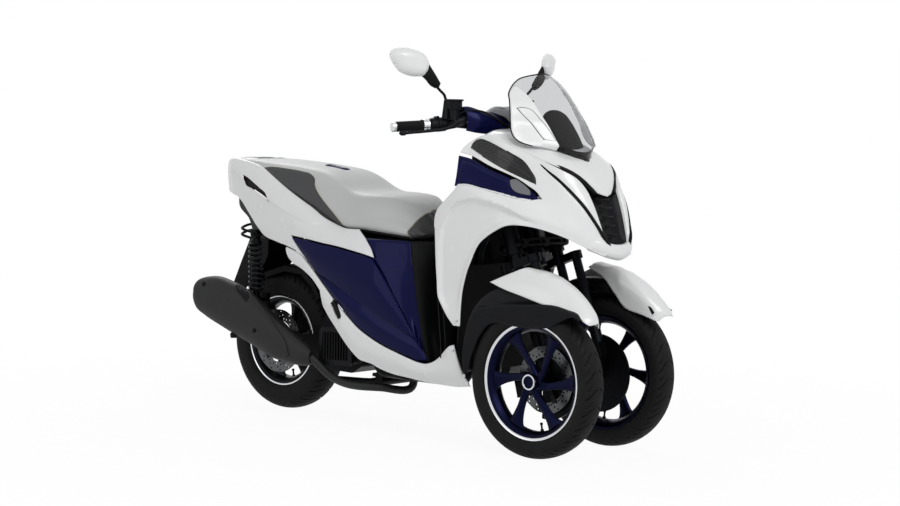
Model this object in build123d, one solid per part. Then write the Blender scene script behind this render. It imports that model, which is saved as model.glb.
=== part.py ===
from build123d import *
import os
from math import atan2, cos, pi, radians, sin, tan

# Leaning three-wheeled scooter: two steered wheels in front, one driven wheel behind.
# Millimetres. X runs forward, Y to the rider's left, Z up from the ground.
# Stations along X are counted from the datum, and write() moves every finished piece so that
# the origin lies on the ground, in the centre plane, at the middle of the overall length.

# Overall sizes
WHEELBASE = 1310.0
FRONT_AXLE_X = 697.5
REAR_AXLE_X = FRONT_AXLE_X - WHEELBASE
TRACK = 385.0
TAIL_END_X = -905.0

# Tyres and rims: 90/80-14 in front, 110/90-12 behind
FRONT_TYRE_R = 250.0
FRONT_TYRE_W = 92.0
FRONT_BEAD_R = 177.0
ORIGIN_X = (TAIL_END_X + FRONT_AXLE_X + FRONT_TYRE_R) / 2
REAR_TYRE_R = 251.0
REAR_TYRE_W = 110.0
REAR_BEAD_R = 152.0
BEAD_GAP = 0.2
FLANGE_H = 13.0
RIM_WALL = 5.0
RIM_WELL = 11.0
SPOKES = 6
SPOKE_SWEEP = 16.0
FRONT_DISC_R = 110.0
REAR_DISC_R = 115.0
DISC_T = 4.0
AXLE_R = 10.0
RUN_GAP = 0.05

# Steering: three parallel axes, one in the centre plane and one in each knuckle
CASTER = 20.0
TRAIL = 68.0
# the cantilever forks stand this far inside the wheels' middle planes
FORK_INSET = 82.5
KNUCKLE_Y = TRACK / 2 - FORK_INSET
TUBE_GAP_U = 71.0
SLIDER_R = 19.0
STANCHION_R = 15.0
STEM_R = 12.0
HEAD_R = 26.0
LOWER_PIVOT_S = 445.0
UPPER_PIVOT_S = 555.0
HEAD_TOP_S = 690.0
PIVOT_OVER = 28.0
ARM_OFFSET = 34.0
ARM_T = 12.0
ARM_BOSS_R = 17.0
PIN_R = 7.0
YOKE_S = 385.0
YOKE_T = 26.0

WALL = 4.0
SEAM = 0.6
# room left where one piece rests on another
SEAT_GAP = 0.3

S20, C20 = sin(radians(CASTER)), cos(radians(CASTER))


def steer_plane(y, u=0.0, s=0.0):
    """Plane on a steering axis: x forward, y to the left, z up the axis, origin level with the axle."""
    x = FRONT_AXLE_X + TRAIL - FRONT_TYRE_R * tan(radians(CASTER))
    return Plane(
        origin=(x + u * C20 - s * S20, y, FRONT_TYRE_R + u * S20 + s * C20),
        x_dir=(C20, 0, S20),
        z_dir=(-S20, 0, C20),
    )


def polygon(points):
    return Face(Wire.make_polygon([Vector(*p) for p in points], close=True))


def side_plate(outline, y_low, y_high, corner=0.0):
    """An outline in the XZ plane, extruded from y_low to y_high."""
    face = polygon([(x, y_low, z) for x, z in outline])
    if corner:
        face = fillet(face.vertices(), corner).faces()[0]
    return Solid.extrude(face, Vector(0, y_high - y_low, 0))


def block(x_low, x_high, y_low, y_high, z_low, z_high):
    middle = ((x_low + x_high) / 2, (y_low + y_high) / 2, (z_low + z_high) / 2)
    return Pos(*middle) * Box(x_high - x_low, y_high - y_low, z_high - z_low)


def rod(start, end, radius):
    start, end = Vector(*start), Vector(*end)
    plane = Plane(origin=start, z_dir=(end - start).normalized())
    return plane * Pos(0, 0, (end - start).length / 2) * Cylinder(radius, (end - start).length)


def cone(start, end, radius_start, radius_end):
    start, end = Vector(*start), Vector(*end)
    plane = Plane(origin=start, z_dir=(end - start).normalized())
    length = (end - start).length
    return plane * Pos(0, 0, length / 2) * Cone(radius_start, radius_end, length)


def tube(points, radius, bend):
    path = FilletPolyline(*points, radius=bend)
    return sweep(Plane(path ^ 0) * Circle(radius), path=path)


def turned(profile, centre, direction=(0, 1, 0)):
    """A (radius, along) outline turned about the axis through centre."""
    plane = Plane(origin=centre, x_dir=(0, 0, 1) if direction[1] else (1, 0, 0), z_dir=direction)
    half = Plane(origin=plane.origin, x_dir=plane.x_dir, z_dir=-plane.y_dir)
    face = half * polygon([(r, t, 0) for r, t in profile])
    return revolve(face, axis=Axis(plane.origin, plane.z_dir))


def inset(points, wall):
    """The same open outline moved wall to its left, with mitred corners."""
    moved = []
    for i, (a, b) in enumerate(points):
        before = points[max(i - 1, 0)]
        after = points[min(i + 1, len(points) - 1)]
        turn_in = atan2(b - before[1], a - before[0]) if i else atan2(after[1] - b, after[0] - a)
        turn_out = atan2(after[1] - b, after[0] - a) if i < len(points) - 1 else turn_in
        half = (turn_out - turn_in + pi) % (2 * pi) - pi
        normal = turn_in + half / 2 + pi / 2
        reach = wall / max(cos(half / 2), 0.5)
        moved.append((a + reach * cos(normal), b + reach * sin(normal)))
    return moved


def band(stations, wall):
    """A shell lofted along X: each station is x and its outer (y, z) outline, solid to the left of it."""
    sections = []
    for x, points in stations:
        loop = points + list(reversed(inset(points, wall)))
        sections.append(Wire.make_polygon([Vector(x, y, z) for y, z in loop], close=True))
    return Solid.make_loft(sections, ruled=True)


def fan(centre, stations, wall):
    """A shell lofted round a wheel: each station is an angle and its outer (y, radius) outline."""
    sections = []
    for angle, points in stations:
        out = Vector(cos(radians(angle)), 0, sin(radians(angle)))
        loop = points + list(reversed(inset(points, wall)))
        corners = [Vector(centre[0], y, centre[2]) + out * r for y, r in loop]
        sections.append(Wire.make_polygon(corners, close=True))
    return Solid.make_loft(sections, ruled=True)


def mirrored(shape):
    return mirror(shape, about=Plane.XZ)


def one(shapes):
    first, rest = shapes[0], shapes[1:]
    return first.fuse(*rest) if rest else first


def largest(shape):
    """The main piece of a cut shape, without the slivers that a cut may leave."""
    return max(shape.solids(), key=lambda solid: solid.volume)


def write(name, *shapes):
    solids = [s for shape in shapes for s in shape.solids()]
    moved = [s.moved(Location((-ORIGIN_X, 0, 0))) for s in solids]
    export_step(Compound(moved) if len(moved) > 1 else moved[0], f"parts/{name}.step")


os.makedirs("parts", exist_ok=True)


# --- Wheels -----------------------------------------------------------------------------

def tyre(centre, radius, width, bead):
    side = width / 2
    flange = bead + FLANGE_H
    profile = [
        (bead + BEAD_GAP, -side + 21), (flange, -side + 19), (flange + 3, -side + 9),
        (flange + 0.30 * (radius - flange), -side + 1.5), (flange + 0.52 * (radius - flange), -side),
        (flange + 0.78 * (radius - flange), -side + 6), (radius - 3.5, -side + 22),
        (radius, -side + 38),
    ]
    profile += [(r, -t) for r, t in reversed(profile)]
    return turned(profile, centre)


def rim(centre, width, bead, phase, spokes, outside, hub_r=34.0):
    """Barrel, hub and swept spokes; outside is -1 or 1, the side that the spokes stand towards."""
    half = width / 2 - 12
    profile = [
        (bead + FLANGE_H, -half), (bead + FLANGE_H, -half + 4), (bead, -half + 8), (bead - 1, -half + 17),
        (bead - RIM_WELL, -half + 24),
    ]
    profile += [(r, -t) for r, t in reversed(profile)]
    inner = [
        (bead + FLANGE_H - RIM_WALL, -half), (bead - RIM_WALL, -half + 7),
        (bead - RIM_WELL - RIM_WALL, -half + 23),
    ]
    inner += [(r, -t) for r, t in reversed(inner)]
    barrel = turned(profile + list(reversed(inner)), centre)
    x, y, z = centre
    hub = turned(
        [(0, -30), (hub_r - 6, -30), (hub_r, -24), (hub_r, 20), (hub_r - 8, 26), (0, 26)]
        if outside < 0 else
        [(0, 30), (hub_r - 6, 30), (hub_r, 24), (hub_r, -20), (hub_r - 8, -26), (0, -26)],
        centre,
    )
    pieces = [hub]
    reach = bead - RIM_WELL - 1.0
    rows = [
        # radius, turn, width, thickness, offset outwards
        (hub_r - 8, SPOKE_SWEEP, 30, 34, 6),
        (hub_r + 26, 0.45 * SPOKE_SWEEP, 21, 24, 9),
        (0.62 * reach, 0.0, 22, 19, 10),
        (reach, -2.0, 44, 22, 8),
    ]
    for n in range(spokes):
        wires = []
        for r, turn, wide, thick, off in rows:
            angle = radians(phase + n * 360 / spokes + turn * outside)
            out = Vector(cos(angle), 0, sin(angle))
            side = Vector(-sin(angle), 0, cos(angle))
            middle = Vector(x, y + outside * off, z) + out * r
            across, through = side * (wide / 2), Vector(0, thick / 2, 0)
            corners = [
                middle - across - through, middle + across - through * 0.6,
                middle + across + through * 0.6, middle - across + through,
            ] if outside < 0 else [
                middle - across + through, middle + across + through * 0.6,
                middle + across - through * 0.6, middle - across - through,
            ]
            wires.append(Wire.make_polygon(corners, close=True))
        pieces.append(Solid.make_loft(wires, ruled=True))
    return one([barrel] + pieces)


def disc(centre, radius, y, hub_r):
    x, _, z = centre
    inner = radius * 0.66
    ring = turned([(inner, -DISC_T / 2), (radius, -DISC_T / 2), (radius, DISC_T / 2), (inner, DISC_T / 2)],
                  (x, y, z))
    arms = []
    for n in range(5):
        arm = Pos(x, y, z) * Rot(0, n * 72, 0) * Pos((hub_r + inner) / 2, 0, 0)
        arms.append(arm * Box(inner - hub_r + 8, DISC_T, 14))
    return one([ring] + arms)


def bored(shape, centre, radius, y_low, y_high):
    x, _, z = centre
    return shape - rod((x, y_low, z), (x, y_high, z), radius)


ARCH_OUT = TRACK / 2 + 55.0
ARCH_IN = TRACK / 2 - 53.0
FRONT_CENTRE = (FRONT_AXLE_X, -TRACK / 2, FRONT_TYRE_R)
FRONT_DISC_Y = -TRACK / 2 + 50.0

front_rim = rim(FRONT_CENTRE, FRONT_TYRE_W, FRONT_BEAD_R, 0.0, SPOKES, -1)
hub_neck = turned([(0, 0), (24, 0), (24, 50 + DISC_T / 2), (0, 50 + DISC_T / 2)], FRONT_CENTRE)
front_disc = disc(FRONT_CENTRE, FRONT_DISC_R, FRONT_DISC_Y, 20.0)
front_wheel = one([front_rim, hub_neck, front_disc])
AXLE_TIP_Y = -TRACK / 2 - 20.0
front_wheel = bored(front_wheel, FRONT_CENTRE, AXLE_R + RUN_GAP, AXLE_TIP_Y, FRONT_DISC_Y + 10)
write("wheel_front_right", front_wheel)
write("wheel_front_left", mirrored(front_wheel))
front_tyre = tyre(FRONT_CENTRE, FRONT_TYRE_R, FRONT_TYRE_W, FRONT_BEAD_R)
write("tyre_front_right", front_tyre)
write("tyre_front_left", mirrored(front_tyre))

REAR_CENTRE = (REAR_AXLE_X, 0, REAR_TYRE_R)
REAR_DISC_Y = -58.0
rear_rim = rim(REAR_CENTRE, REAR_TYRE_W, REAR_BEAD_R, 10.0, SPOKES, -1)
rear_neck = turned([(0, -60), (26, -60), (26, 44), (0, 44)], REAR_CENTRE)
rear_disc = disc(REAR_CENTRE, REAR_DISC_R, REAR_DISC_Y, 22.0)
rear_wheel = bored(one([rear_rim, rear_neck, rear_disc]), REAR_CENTRE, AXLE_R + RUN_GAP, -80, 80)
write("wheel_rear", rear_wheel)
write("tyre_rear", tyre(REAR_CENTRE, REAR_TYRE_R, REAR_TYRE_W, REAR_BEAD_R))


# --- Leaning linkage: two pairs of arms on the head tube, a knuckle at each end ---------------

PIVOTS = (LOWER_PIVOT_S, UPPER_PIVOT_S)
SHAFT_BORE_R = STEM_R + RUN_GAP
PIN_END_U = ARM_OFFSET + ARM_T + 5.0
KNUCKLE_LOW_S = LOWER_PIVOT_S - PIVOT_OVER
KNUCKLE_TOP_S = UPPER_PIVOT_S + PIVOT_OVER


def barrel_along(plane, radius, low, high):
    return plane * Pos(0, 0, (low + high) / 2) * Cylinder(radius, high - low)


def pivot_pins(plane):
    """Stub pins in front of and behind a bearing tube, square to it in the centre plane."""
    pins = []
    for s in PIVOTS:
        for side in (-1, 1):
            length = PIN_END_U - STEM_R - 6
            middle = side * (PIN_END_U + STEM_R + 6) / 2
            pin = plane * Pos(middle, 0, s) * Rot(0, 90, 0) * Cylinder(PIN_R, length)
            boss_end = ARM_OFFSET - 0.5
            boss = plane * Pos(side * (boss_end + 14) / 2, 0, s) * Rot(0, 90, 0) * Cylinder(15, boss_end - 14)
            pins += [pin, boss]
    return pins


def bearing_tube(plane, radius, low, high):
    return one([barrel_along(plane, radius, low, high)] + pivot_pins(plane)) - barrel_along(
        plane, SHAFT_BORE_R, low - 5, high + 5
    )


CENTRE = steer_plane(0)
knuckle = bearing_tube(steer_plane(-KNUCKLE_Y), HEAD_R, KNUCKLE_LOW_S, KNUCKLE_TOP_S)
write("knuckles", knuckle, mirrored(knuckle))


def arm_plate(s, side):
    """One flat arm with a boss at the middle and at each end, cored between the bosses."""
    height = 0.74 * ARM_BOSS_R
    plate = Box(ARM_T, 2 * KNUCKLE_Y, 2 * height)
    for y in (-KNUCKLE_Y, 0, KNUCKLE_Y):
        plate = plate + Pos(0, y, 0) * Rot(0, 90, 0) * Cylinder(ARM_BOSS_R, ARM_T)
    for y in (-KNUCKLE_Y, 0, KNUCKLE_Y):
        plate = plate - Pos(0, y, 0) * Rot(0, 90, 0) * Cylinder(PIN_R + RUN_GAP, ARM_T + 2)
    for y in (-KNUCKLE_Y / 2, KNUCKLE_Y / 2):
        window = Box(ARM_T + 2, KNUCKLE_Y - 2 * ARM_BOSS_R - 16, 2 * height - 14)
        plate = plate - Pos(0, y, 0) * window
    return CENTRE * Pos(side * (ARM_OFFSET + ARM_T / 2), 0, s) * plate


write("linkage_arms", *[arm_plate(s, side) for s in PIVOTS for side in (-1, 1)])

# --- Cantilever forks -----------------------------------------------------------------------

AXLE_U = (FRONT_AXLE_X - steer_plane(0).origin.X) * C20
AXLE_S = -(FRONT_AXLE_X - steer_plane(0).origin.X) * S20
STEER_ARM_U = -58.0
STUD_R = 6.0
TIE_ROD_T = 10.0
YOKE_LOW_S = YOKE_S - YOKE_T / 2
YOKE_TOP_S = YOKE_S + YOKE_T / 2
SLIDER_TOP_S = 290.0
NUT_T = 10.0
STUD_LOW_S = YOKE_LOW_S - TIE_ROD_T - 7.0

fork_plane = steer_plane(-KNUCKLE_Y)


def yoke(front_u):
    """Clamp plate from the steering arm's stud behind the axis to the front tube."""
    parts = [
        Pos(STEER_ARM_U / 2, 0, YOKE_S) * Box(-STEER_ARM_U, 20, YOKE_T),
        Pos(STEER_ARM_U, 0, YOKE_S) * Cylinder(13, YOKE_T),
        Pos(STEER_ARM_U, 0, (STUD_LOW_S + YOKE_S) / 2) * Cylinder(STUD_R, YOKE_S - STUD_LOW_S),
        Pos(0, 0, YOKE_S) * Cylinder(24, YOKE_T),
    ]
    if front_u:
        parts += [
            Pos(front_u / 2, 0, YOKE_S) * Box(front_u, 36, YOKE_T),
            Pos(front_u, 0, YOKE_S) * Cylinder(22, YOKE_T),
        ]
    return parts


STEM_TOP_S = KNUCKLE_TOP_S + 1.0 + NUT_T
fork_parts = yoke(TUBE_GAP_U)
fork_parts += [
    Pos(0, 0, (YOKE_S + STEM_TOP_S) / 2) * Cylinder(STEM_R, STEM_TOP_S - YOKE_S),
    Pos(0, 0, STEM_TOP_S - NUT_T / 2) * Cylinder(18, NUT_T),
    Pos(0, 0, (YOKE_TOP_S + KNUCKLE_LOW_S) / 2) * Cylinder(19, KNUCKLE_LOW_S - YOKE_TOP_S - 0.6),
]
for u, low in ((0.0, 26.0), (TUBE_GAP_U, 40.0)):
    fork_parts += [
        Pos(u, 0, (YOKE_S + SLIDER_TOP_S) / 2) * Cylinder(STANCHION_R, YOKE_S - SLIDER_TOP_S),
        Pos(u, 0, (SLIDER_TOP_S + low) / 2) * Cylinder(SLIDER_R, SLIDER_TOP_S - low),
        Pos(u, 0, SLIDER_TOP_S - 4) * Cylinder(SLIDER_R + 3, 16),
    ]
lug = [(AXLE_U - 26, AXLE_S - 8), (AXLE_U, AXLE_S - 26), (AXLE_U + 24, AXLE_S - 10),
       (TUBE_GAP_U + SLIDER_R, 44), (TUBE_GAP_U + SLIDER_R, 84), (-SLIDER_R, 84), (-SLIDER_R, 30)]
fork_parts.append(Solid.extrude(polygon([(u, -15, s) for u, s in lug]), Vector(0, 30, 0)))
# the mudguard's stay lies across both sliders, against the arch's inner side
STAY_END_V = KNUCKLE_Y - ARCH_IN + SEAT_GAP
fork_parts.append(Pos(TUBE_GAP_U / 2, (STAY_END_V - 12) / 2, 268) * Box(TUBE_GAP_U + 16, -STAY_END_V - 12, 16))
fork = fork_plane * one(fork_parts)
AXLE_END_Y = AXLE_TIP_Y + 0.5
NECK_END_Y = FRONT_DISC_Y + DISC_T / 2


def on_axle(y):
    return (FRONT_AXLE_X, y, FRONT_TYRE_R)


fork = one([
    fork,
    rod(on_axle(-KNUCKLE_Y + 26), on_axle(AXLE_END_Y), AXLE_R),
    rod(on_axle(-KNUCKLE_Y + 22), on_axle(NECK_END_Y + 0.6), 18),
    rod(on_axle(-KNUCKLE_Y + 22), on_axle(-KNUCKLE_Y + 28), 15),
])

# Splash cover over the front of the brake disc, and the caliper behind it
COVER_R = 130.0
cover = rod(on_axle(FRONT_DISC_Y + 14.5), on_axle(FRONT_DISC_Y + 7.5), COVER_R)
cover = cover & block(
    FRONT_AXLE_X - 20, FRONT_AXLE_X + COVER_R + 5, -200, 0, FRONT_TYRE_R - COVER_R, FRONT_TYRE_R + COVER_R
)
caliper = Pos(FRONT_AXLE_X, FRONT_DISC_Y, FRONT_TYRE_R) * Rot(0, -195, 0) * (
    Pos(96, 5, 0) * Box(50, 38, 78) - Pos(86, 0, 0) * Box(62, DISC_T + 3, 90)
)
caliper_stay = Pos(FRONT_AXLE_X, FRONT_DISC_Y + 18, FRONT_TYRE_R) * Rot(0, -195, 0) * (
    Pos(60, 4, -6) * Box(90, 12, 34)
)
fork = one([fork, cover, caliper, caliper_stay])
write("fork_right", fork)
write("fork_left", mirrored(fork))

# --- Front mudguards: a dark inner arch and a light top cover -------------------------------

# angle, then radii beyond the tyre: lower edge outside, bulge, crown, inner edge
ARCH = [
    (42, 38, 46, 55, 40),
    (58, -10, 12, 62, 18),
    (72, -60, -14, 66, 12),
    (97, -72, -22, 76, 12),
    (116, -54, -18, 84, 12),
    (131, -10, 12, 78, 12),
    (144, 12, 34, 66, 12),
    (157, 12, 26, 46, 12),
    (178, 12, 16, 22, 12),
]
ARCH_WALL = 3.0


def arch_station(angle, low, bulge, crown, inner):
    rows = [
        (-ARCH_OUT, low), (-ARCH_OUT, bulge), (-ARCH_OUT + 16, crown - 8), (-ARCH_OUT + 26, crown),
        (-ARCH_IN - 14, crown), (-ARCH_IN, crown - 8), (-ARCH_IN, min(inner, crown - 9)),
    ]
    return angle, [(y, FRONT_TYRE_R + r) for y, r in reversed(rows)]


arch = fan(FRONT_CENTRE, [arch_station(*row) for row in ARCH], ARCH_WALL)
write("arch_right", arch)
write("arch_left", mirrored(arch))

# angle, radii beyond the tyre: outer edge, shoulder, crown, inner edge
TOP = [
    (41.5, 68, 71, 75, 68),
    (49, 56, 72, 82, 68),
    (58, 34, 68, 86, 62),
    (70, 18, 68, 90, 58),
    (82, 18, 72, 96, 60),
    (97, 34, 88, 108, 76),
    (106, 60, 96, 106, 88),
]
CREST_Y = TRACK / 2 + 2.0
TOP_OUT = ARCH_OUT + 1.0


def top_station(angle, outer, shoulder, crown, inner):
    rows = [
        (-ARCH_IN + ARCH_WALL + 0.4, inner), (-ARCH_IN - 6, (inner + crown) / 2 + 8), (-CREST_Y + 22, crown - 2),
        (-CREST_Y - 14, crown - 2), (-ARCH_OUT + 12, shoulder), (-TOP_OUT + 0.12 * (outer - 18), outer),
    ]
    return angle, [(y, FRONT_TYRE_R + r) for y, r in rows]


top_cover = fan(FRONT_CENTRE, [top_station(*row) for row in TOP], ARCH_WALL)
write("mudguard_right", top_cover)
write("mudguard_left", mirrored(top_cover))


# --- Frame ----------------------------------------------------------------------------------

FRAME_R = 15.0
RAIL_Z = 195.0
# right frame tube from the head tube down, under the floor and up to the tail
RAIL = [
    (452, -16, 862), (398, -44, 800), (352, -80, 640), (344, -92, 300), (326, -105, RAIL_Z),
    (-60, -105, RAIL_Z), (-165, -140, 400), (-330, -150, 590), (-745, -92, 745),
]
CROSS_X = (-60.0, 200.0)

head_tube = bearing_tube(CENTRE, HEAD_R, KNUCKLE_LOW_S, HEAD_TOP_S)
rail = tube(RAIL, FRAME_R, 40)
stem_bore = barrel_along(CENTRE, SHAFT_BORE_R, KNUCKLE_LOW_S - 5, HEAD_TOP_S + 5)
cross_tubes = [rod((x, -105, RAIL_Z), (x, 105, RAIL_Z), 11) for x in CROSS_X]
cross_tubes.append(rod((345, -91, 330), (345, 91, 330), 11))
cross_tubes.append(rod((-410, -182.4, 619), (-410, 182.4, 619), 11))
cross_tubes.append(rod((-730, -116, 739), (-730, 116, 739), 11))
# pads that the floor, leg shield, liner, tub, shocks and rear mudguard rest on
FLOOR_Z = 258.0
FLOOR_T = 6.0
right_pads = [
    block(160, 184, -116, -94, RAIL_Z, FLOOR_Z - FLOOR_T - SEAT_GAP),
    block(270, 294, -116, -94, RAIL_Z, FLOOR_Z - FLOOR_T - SEAT_GAP),
    block(321, 340, -70, -50, 322, 338),
    block(346, 365.8, -100, -84, 400, 420),
    block(-310, -280, -142, -118.3, 542, 558),
    block(-668, -638, -101.7, -93.7, 624, 705),
]
pads = [block(-736, -712, -40, 40, 700.3, 735)] + right_pads + [mirrored(pad) for pad in right_pads]
STAND_X, STAND_Z = -75.0, 158.0
STAND_PIN_R = 8.0
stand_pin = rod((STAND_X, -104, STAND_Z), (STAND_X, 104, STAND_Z), STAND_PIN_R)
stand_ears = [block(STAND_X - 13, STAND_X + 13, y - 4, y + 4, STAND_Z - 13, RAIL_Z - 6) for y in (-100, 100)]
write("frame", one([head_tube, rail, mirrored(rail), stand_pin] + cross_tubes + stand_ears + pads) - stem_bore)

# --- Steering column, bars and controls -----------------------------------------------------

CLAMP_S = 835.0
BAR_R = 11.0
GRIP_R = 17.0
BAR_WIDTH = 735.0
GRIP_IN_Y = 255.0
GRIP_OUT_Y = 352.0
# the right half of the bar, from the clamp out
BAR = [(389, 0, 1035), (372, -60, 1050), (312, -190, 1063), (214, -350, 1051)]
column = CENTRE * one([
    Pos(0, 0, (YOKE_S + CLAMP_S) / 2) * Cylinder(STEM_R, CLAMP_S - YOKE_S),
    Pos(0, 0, YOKE_S) * Cylinder(22, YOKE_T),
    Pos(0, 0, (YOKE_TOP_S + KNUCKLE_LOW_S) / 2) * Cylinder(19, KNUCKLE_LOW_S - YOKE_TOP_S - 0.6),
    Pos(0, 0, HEAD_TOP_S + 9) * Cylinder(21, 17),
] + yoke(0))
half_bar = tube(BAR, BAR_R, 30)
clamp = CENTRE * Pos(0, 0, CLAMP_S) * Box(46, 60, 40)
cover_post = block(366, 396, -20, 20, 1045, 1093.2)
write("steering_column", one([column, clamp, cover_post, half_bar, mirrored(half_bar)]))
GRIP_DIR = (Vector(*BAR[-1]) - Vector(*BAR[-2])).normalized()


def along_grip(y):
    start = Vector(*BAR[-2])
    return start + GRIP_DIR * ((-y - start.Y) / GRIP_DIR.Y)


def sleeve(y_in, y_out, radius, bore=BAR_R):
    start, end = along_grip(y_in), along_grip(y_out)
    ring = rod(start, end, radius)
    return ring - rod(start - GRIP_DIR, end + GRIP_DIR, bore) if bore else ring


SLIP = 0.05
grip = sleeve(GRIP_IN_Y + 0.5, GRIP_OUT_Y - SEAT_GAP, GRIP_R, BAR_R + SLIP)
write("grips", grip, mirrored(grip))
bar_end = sleeve(GRIP_OUT_Y, BAR_WIDTH / 2 - 3.2, 16.5, 0)
write("bar_ends", bar_end - rod(along_grip(320), along_grip(350.4), BAR_R + SLIP),
      mirrored(bar_end - rod(along_grip(320), along_grip(350.4), BAR_R + SLIP)))

pod = sleeve(212, 250, 21, BAR_R + SLIP)
reservoir = Pos(338, -186, 1091) * Rot(0, 0, 32) * Box(36, 34, 26)
lever_perch = Pos(322, -199, 1060) * Rot(0, 0, 30) * Box(40, 26, 36)
lever = one([
    rod((334, -205, 1050), (318, -240, 1046), 7), rod((318, -240, 1046), (250, -352, 1033), 5.5),
    Pos(247, -357, 1032) * Sphere(8),
])
control = one([pod, lever_perch, lever, reservoir]) - tube(BAR, BAR_R + SLIP, 30)
write("controls", control, mirrored(control))

STEM_FOOT = (310, -222, 1074)
mirror_stem = tube([STEM_FOOT, (302, -230, 1126), (293, -250, 1186), (284, -285, 1215)], 6, 12)
stem_boot = cone(STEM_FOOT, (306, -226, 1112), 12, 8)
mirror_arm = one([mirror_stem, stem_boot])
# mirror shell: section centres from the inner end out, with half height and half depth
SHELL = [
    # y, x, z, half height, depth
    (-268, 300, 1196, 12, 14), (-300, 284, 1228, 34, 34), (-340, 262, 1262, 42, 44),
    (-385, 244, 1276, 34, 38), (-416, 234, 1282, 12, 18),
]
shell_wires = []
for y, x, z, high, deep in SHELL:
    ring = [(x - 6, z - high), (x - 6, z + high), (x + 0.7 * deep, z + 0.7 * high), (x + deep, z),
            (x + 0.7 * deep, z - 0.7 * high)]
    shell_wires.append(Wire.make_polygon([Vector(a, y, b) for a, b in ring], close=True))
mirror_shell = Solid.make_loft(shell_wires, ruled=True)
write("mirrors", mirror_shell, mirrored(mirror_shell))
mirror_arm = mirror_arm - mirror_shell - control
write("mirror_stems", mirror_arm, mirrored(mirror_arm))

# bar cover: outlines across the bar, front bottom edge to rear bottom edge over the top
COVER = [
    # y, front x, rear x, low z, top z
    (-160, 356, 302, 1038, 1083),
    (-110, 400, 318, 1030, 1090),
    (-50, 446, 330, 1012, 1098),
    (50, 446, 330, 1012, 1098),
    (110, 400, 318, 1030, 1090),
    (160, 356, 302, 1038, 1083),
]
cover_wires = []
for y, front, rear, low, top in COVER:
    outline = [(rear, low), (rear + 4, top - 12), (rear + 16, top), (front - 30, top - 2), (front, top - 26),
               (front + 2, low)]
    loop = outline + list(reversed(inset(outline, -3.0)))
    cover_wires.append(Wire.make_polygon([Vector(a, y, b) for a, b in loop], close=True))
bar_cover = Solid.make_loft(cover_wires, ruled=True)
write("bar_cover", bar_cover - rod(along_grip(120), along_grip(190), BAR_R + 4)
      - mirrored(rod(along_grip(120), along_grip(190), BAR_R + 4)))
meter = side_plate([(340, 1098.4), (352, 1112), (430, 1108), (452, 1090), (437, 1080.6), (417, 1096.5)], -70, 70, 1.5)
write("meter", meter)

# --- Tie rod --------------------------------------------------------------------------------

TIE_S = YOKE_LOW_S - 2.0 - TIE_ROD_T / 2
TIE_END_GAP = 0.6
tie = Pos(0, 0, 0) * Box(16, 2 * KNUCKLE_Y, TIE_ROD_T)
for y in (-KNUCKLE_Y, 0, KNUCKLE_Y):
    tie = tie + Pos(0, y, 0) * Cylinder(13, TIE_ROD_T)
for y, gap in ((-KNUCKLE_Y, TIE_END_GAP), (0, RUN_GAP), (KNUCKLE_Y, TIE_END_GAP)):
    tie = tie - Pos(0, y, 0) * Cylinder(STUD_R + gap, TIE_ROD_T + 2)
write("tie_rod", CENTRE * Pos(STEER_ARM_U, 0, TIE_S) * tie)


# --- Front bodywork ---------------------------------------------------------------------------

def side_rails(rows):
    """Band stations on the right side from rows of x and (half width, z) pairs, top edge first."""
    return [(row[0], [(-w, z) for w, z in row[1]]) for row in rows]


# x and the outline from the top edge down: top, shoulder, waist, lower edge
COWL = [
    (285, [(233, 755), (235, 730), (235, 700), (233, 640)]),
    (292, [(233, 776), (236, 745), (235, 690), (233, 560)]),
    (304, [(233, 790), (237, 760), (236, 650), (233, 486)]),
    (320, [(234, 806), (238, 775), (237, 640), (234, 464)]),
    (352, [(234, 832), (239, 800), (238, 640), (234, 427)]),
    (378, [(233, 852), (239, 815), (238, 640), (234, 404)]),
    (398, [(192, 985), (240, 822), (238, 640), (234, 403)]),
    (412, [(186, 1014), (240, 826), (238, 660), (234, 530)]),
    (446, [(182, 1030), (240, 826), (239, 700), (235, 620)]),
    (480, [(180, 1030), (241, 824), (240, 740), (236, 680)]),
    (544, [(180, 1008), (241, 818), (241, 770), (236, 724)]),
    (617, [(170, 977), (233, 795), (234, 770), (230, 747)]),
    (640, [(165, 967), (225, 788), (226, 768), (222, 746)]),
    (694, [(158, 921), (201, 773), (203, 755), (200, 738)]),
    (739, [(150, 886), (174, 757), (176, 740), (172, 724)]),
    (771, [(136, 850), (156, 740), (157, 724), (153, 710)]),
    (800, [(122, 816), (133, 720), (133, 706), (128, 693)]),
    (835, [(98, 755), (106, 695), (106, 684), (101, 673)]),
    (858, [(77, 712), (78, 682), (76, 672), (68, 662)]),
]
LAMP = [(408, 988), (418, 1010), (438, 1019), (502, 1000), (612, 948), (656, 894), (658, 880), (538, 928)]
PATCH = [
    (370, 962), (420, 954), (500, 922), (605, 884), (658, 850), (676, 832), (650, 820), (560, 842),
    (410, 866), (370, 860),
]


def shrunk(outline, gap):
    return offset(polygon([(x, 0, z) for x, z in outline]), -gap, kind=Kind.INTERSECTION).faces()[0]


def cutter(outline, gap=0.0):
    """A prism through the right side under an XZ outline, drawn in by gap."""
    face = shrunk(outline, gap) if gap else polygon([(x, 0, z) for x, z in outline])
    return Solid.extrude(face, Vector(0, -300, 0))


cowl = band(side_rails(COWL), WALL)
lamp = cowl & cutter(LAMP, SEAM)
patch = cowl & cutter(PATCH, SEAM)
cowl_side = cowl - cutter(LAMP) - cutter(PATCH)
write("cowl_right", cowl_side)
write("cowl_left", mirrored(cowl_side))
write("side_lamps", lamp, mirrored(lamp))
write("side_patches", patch, mirrored(patch))

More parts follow.
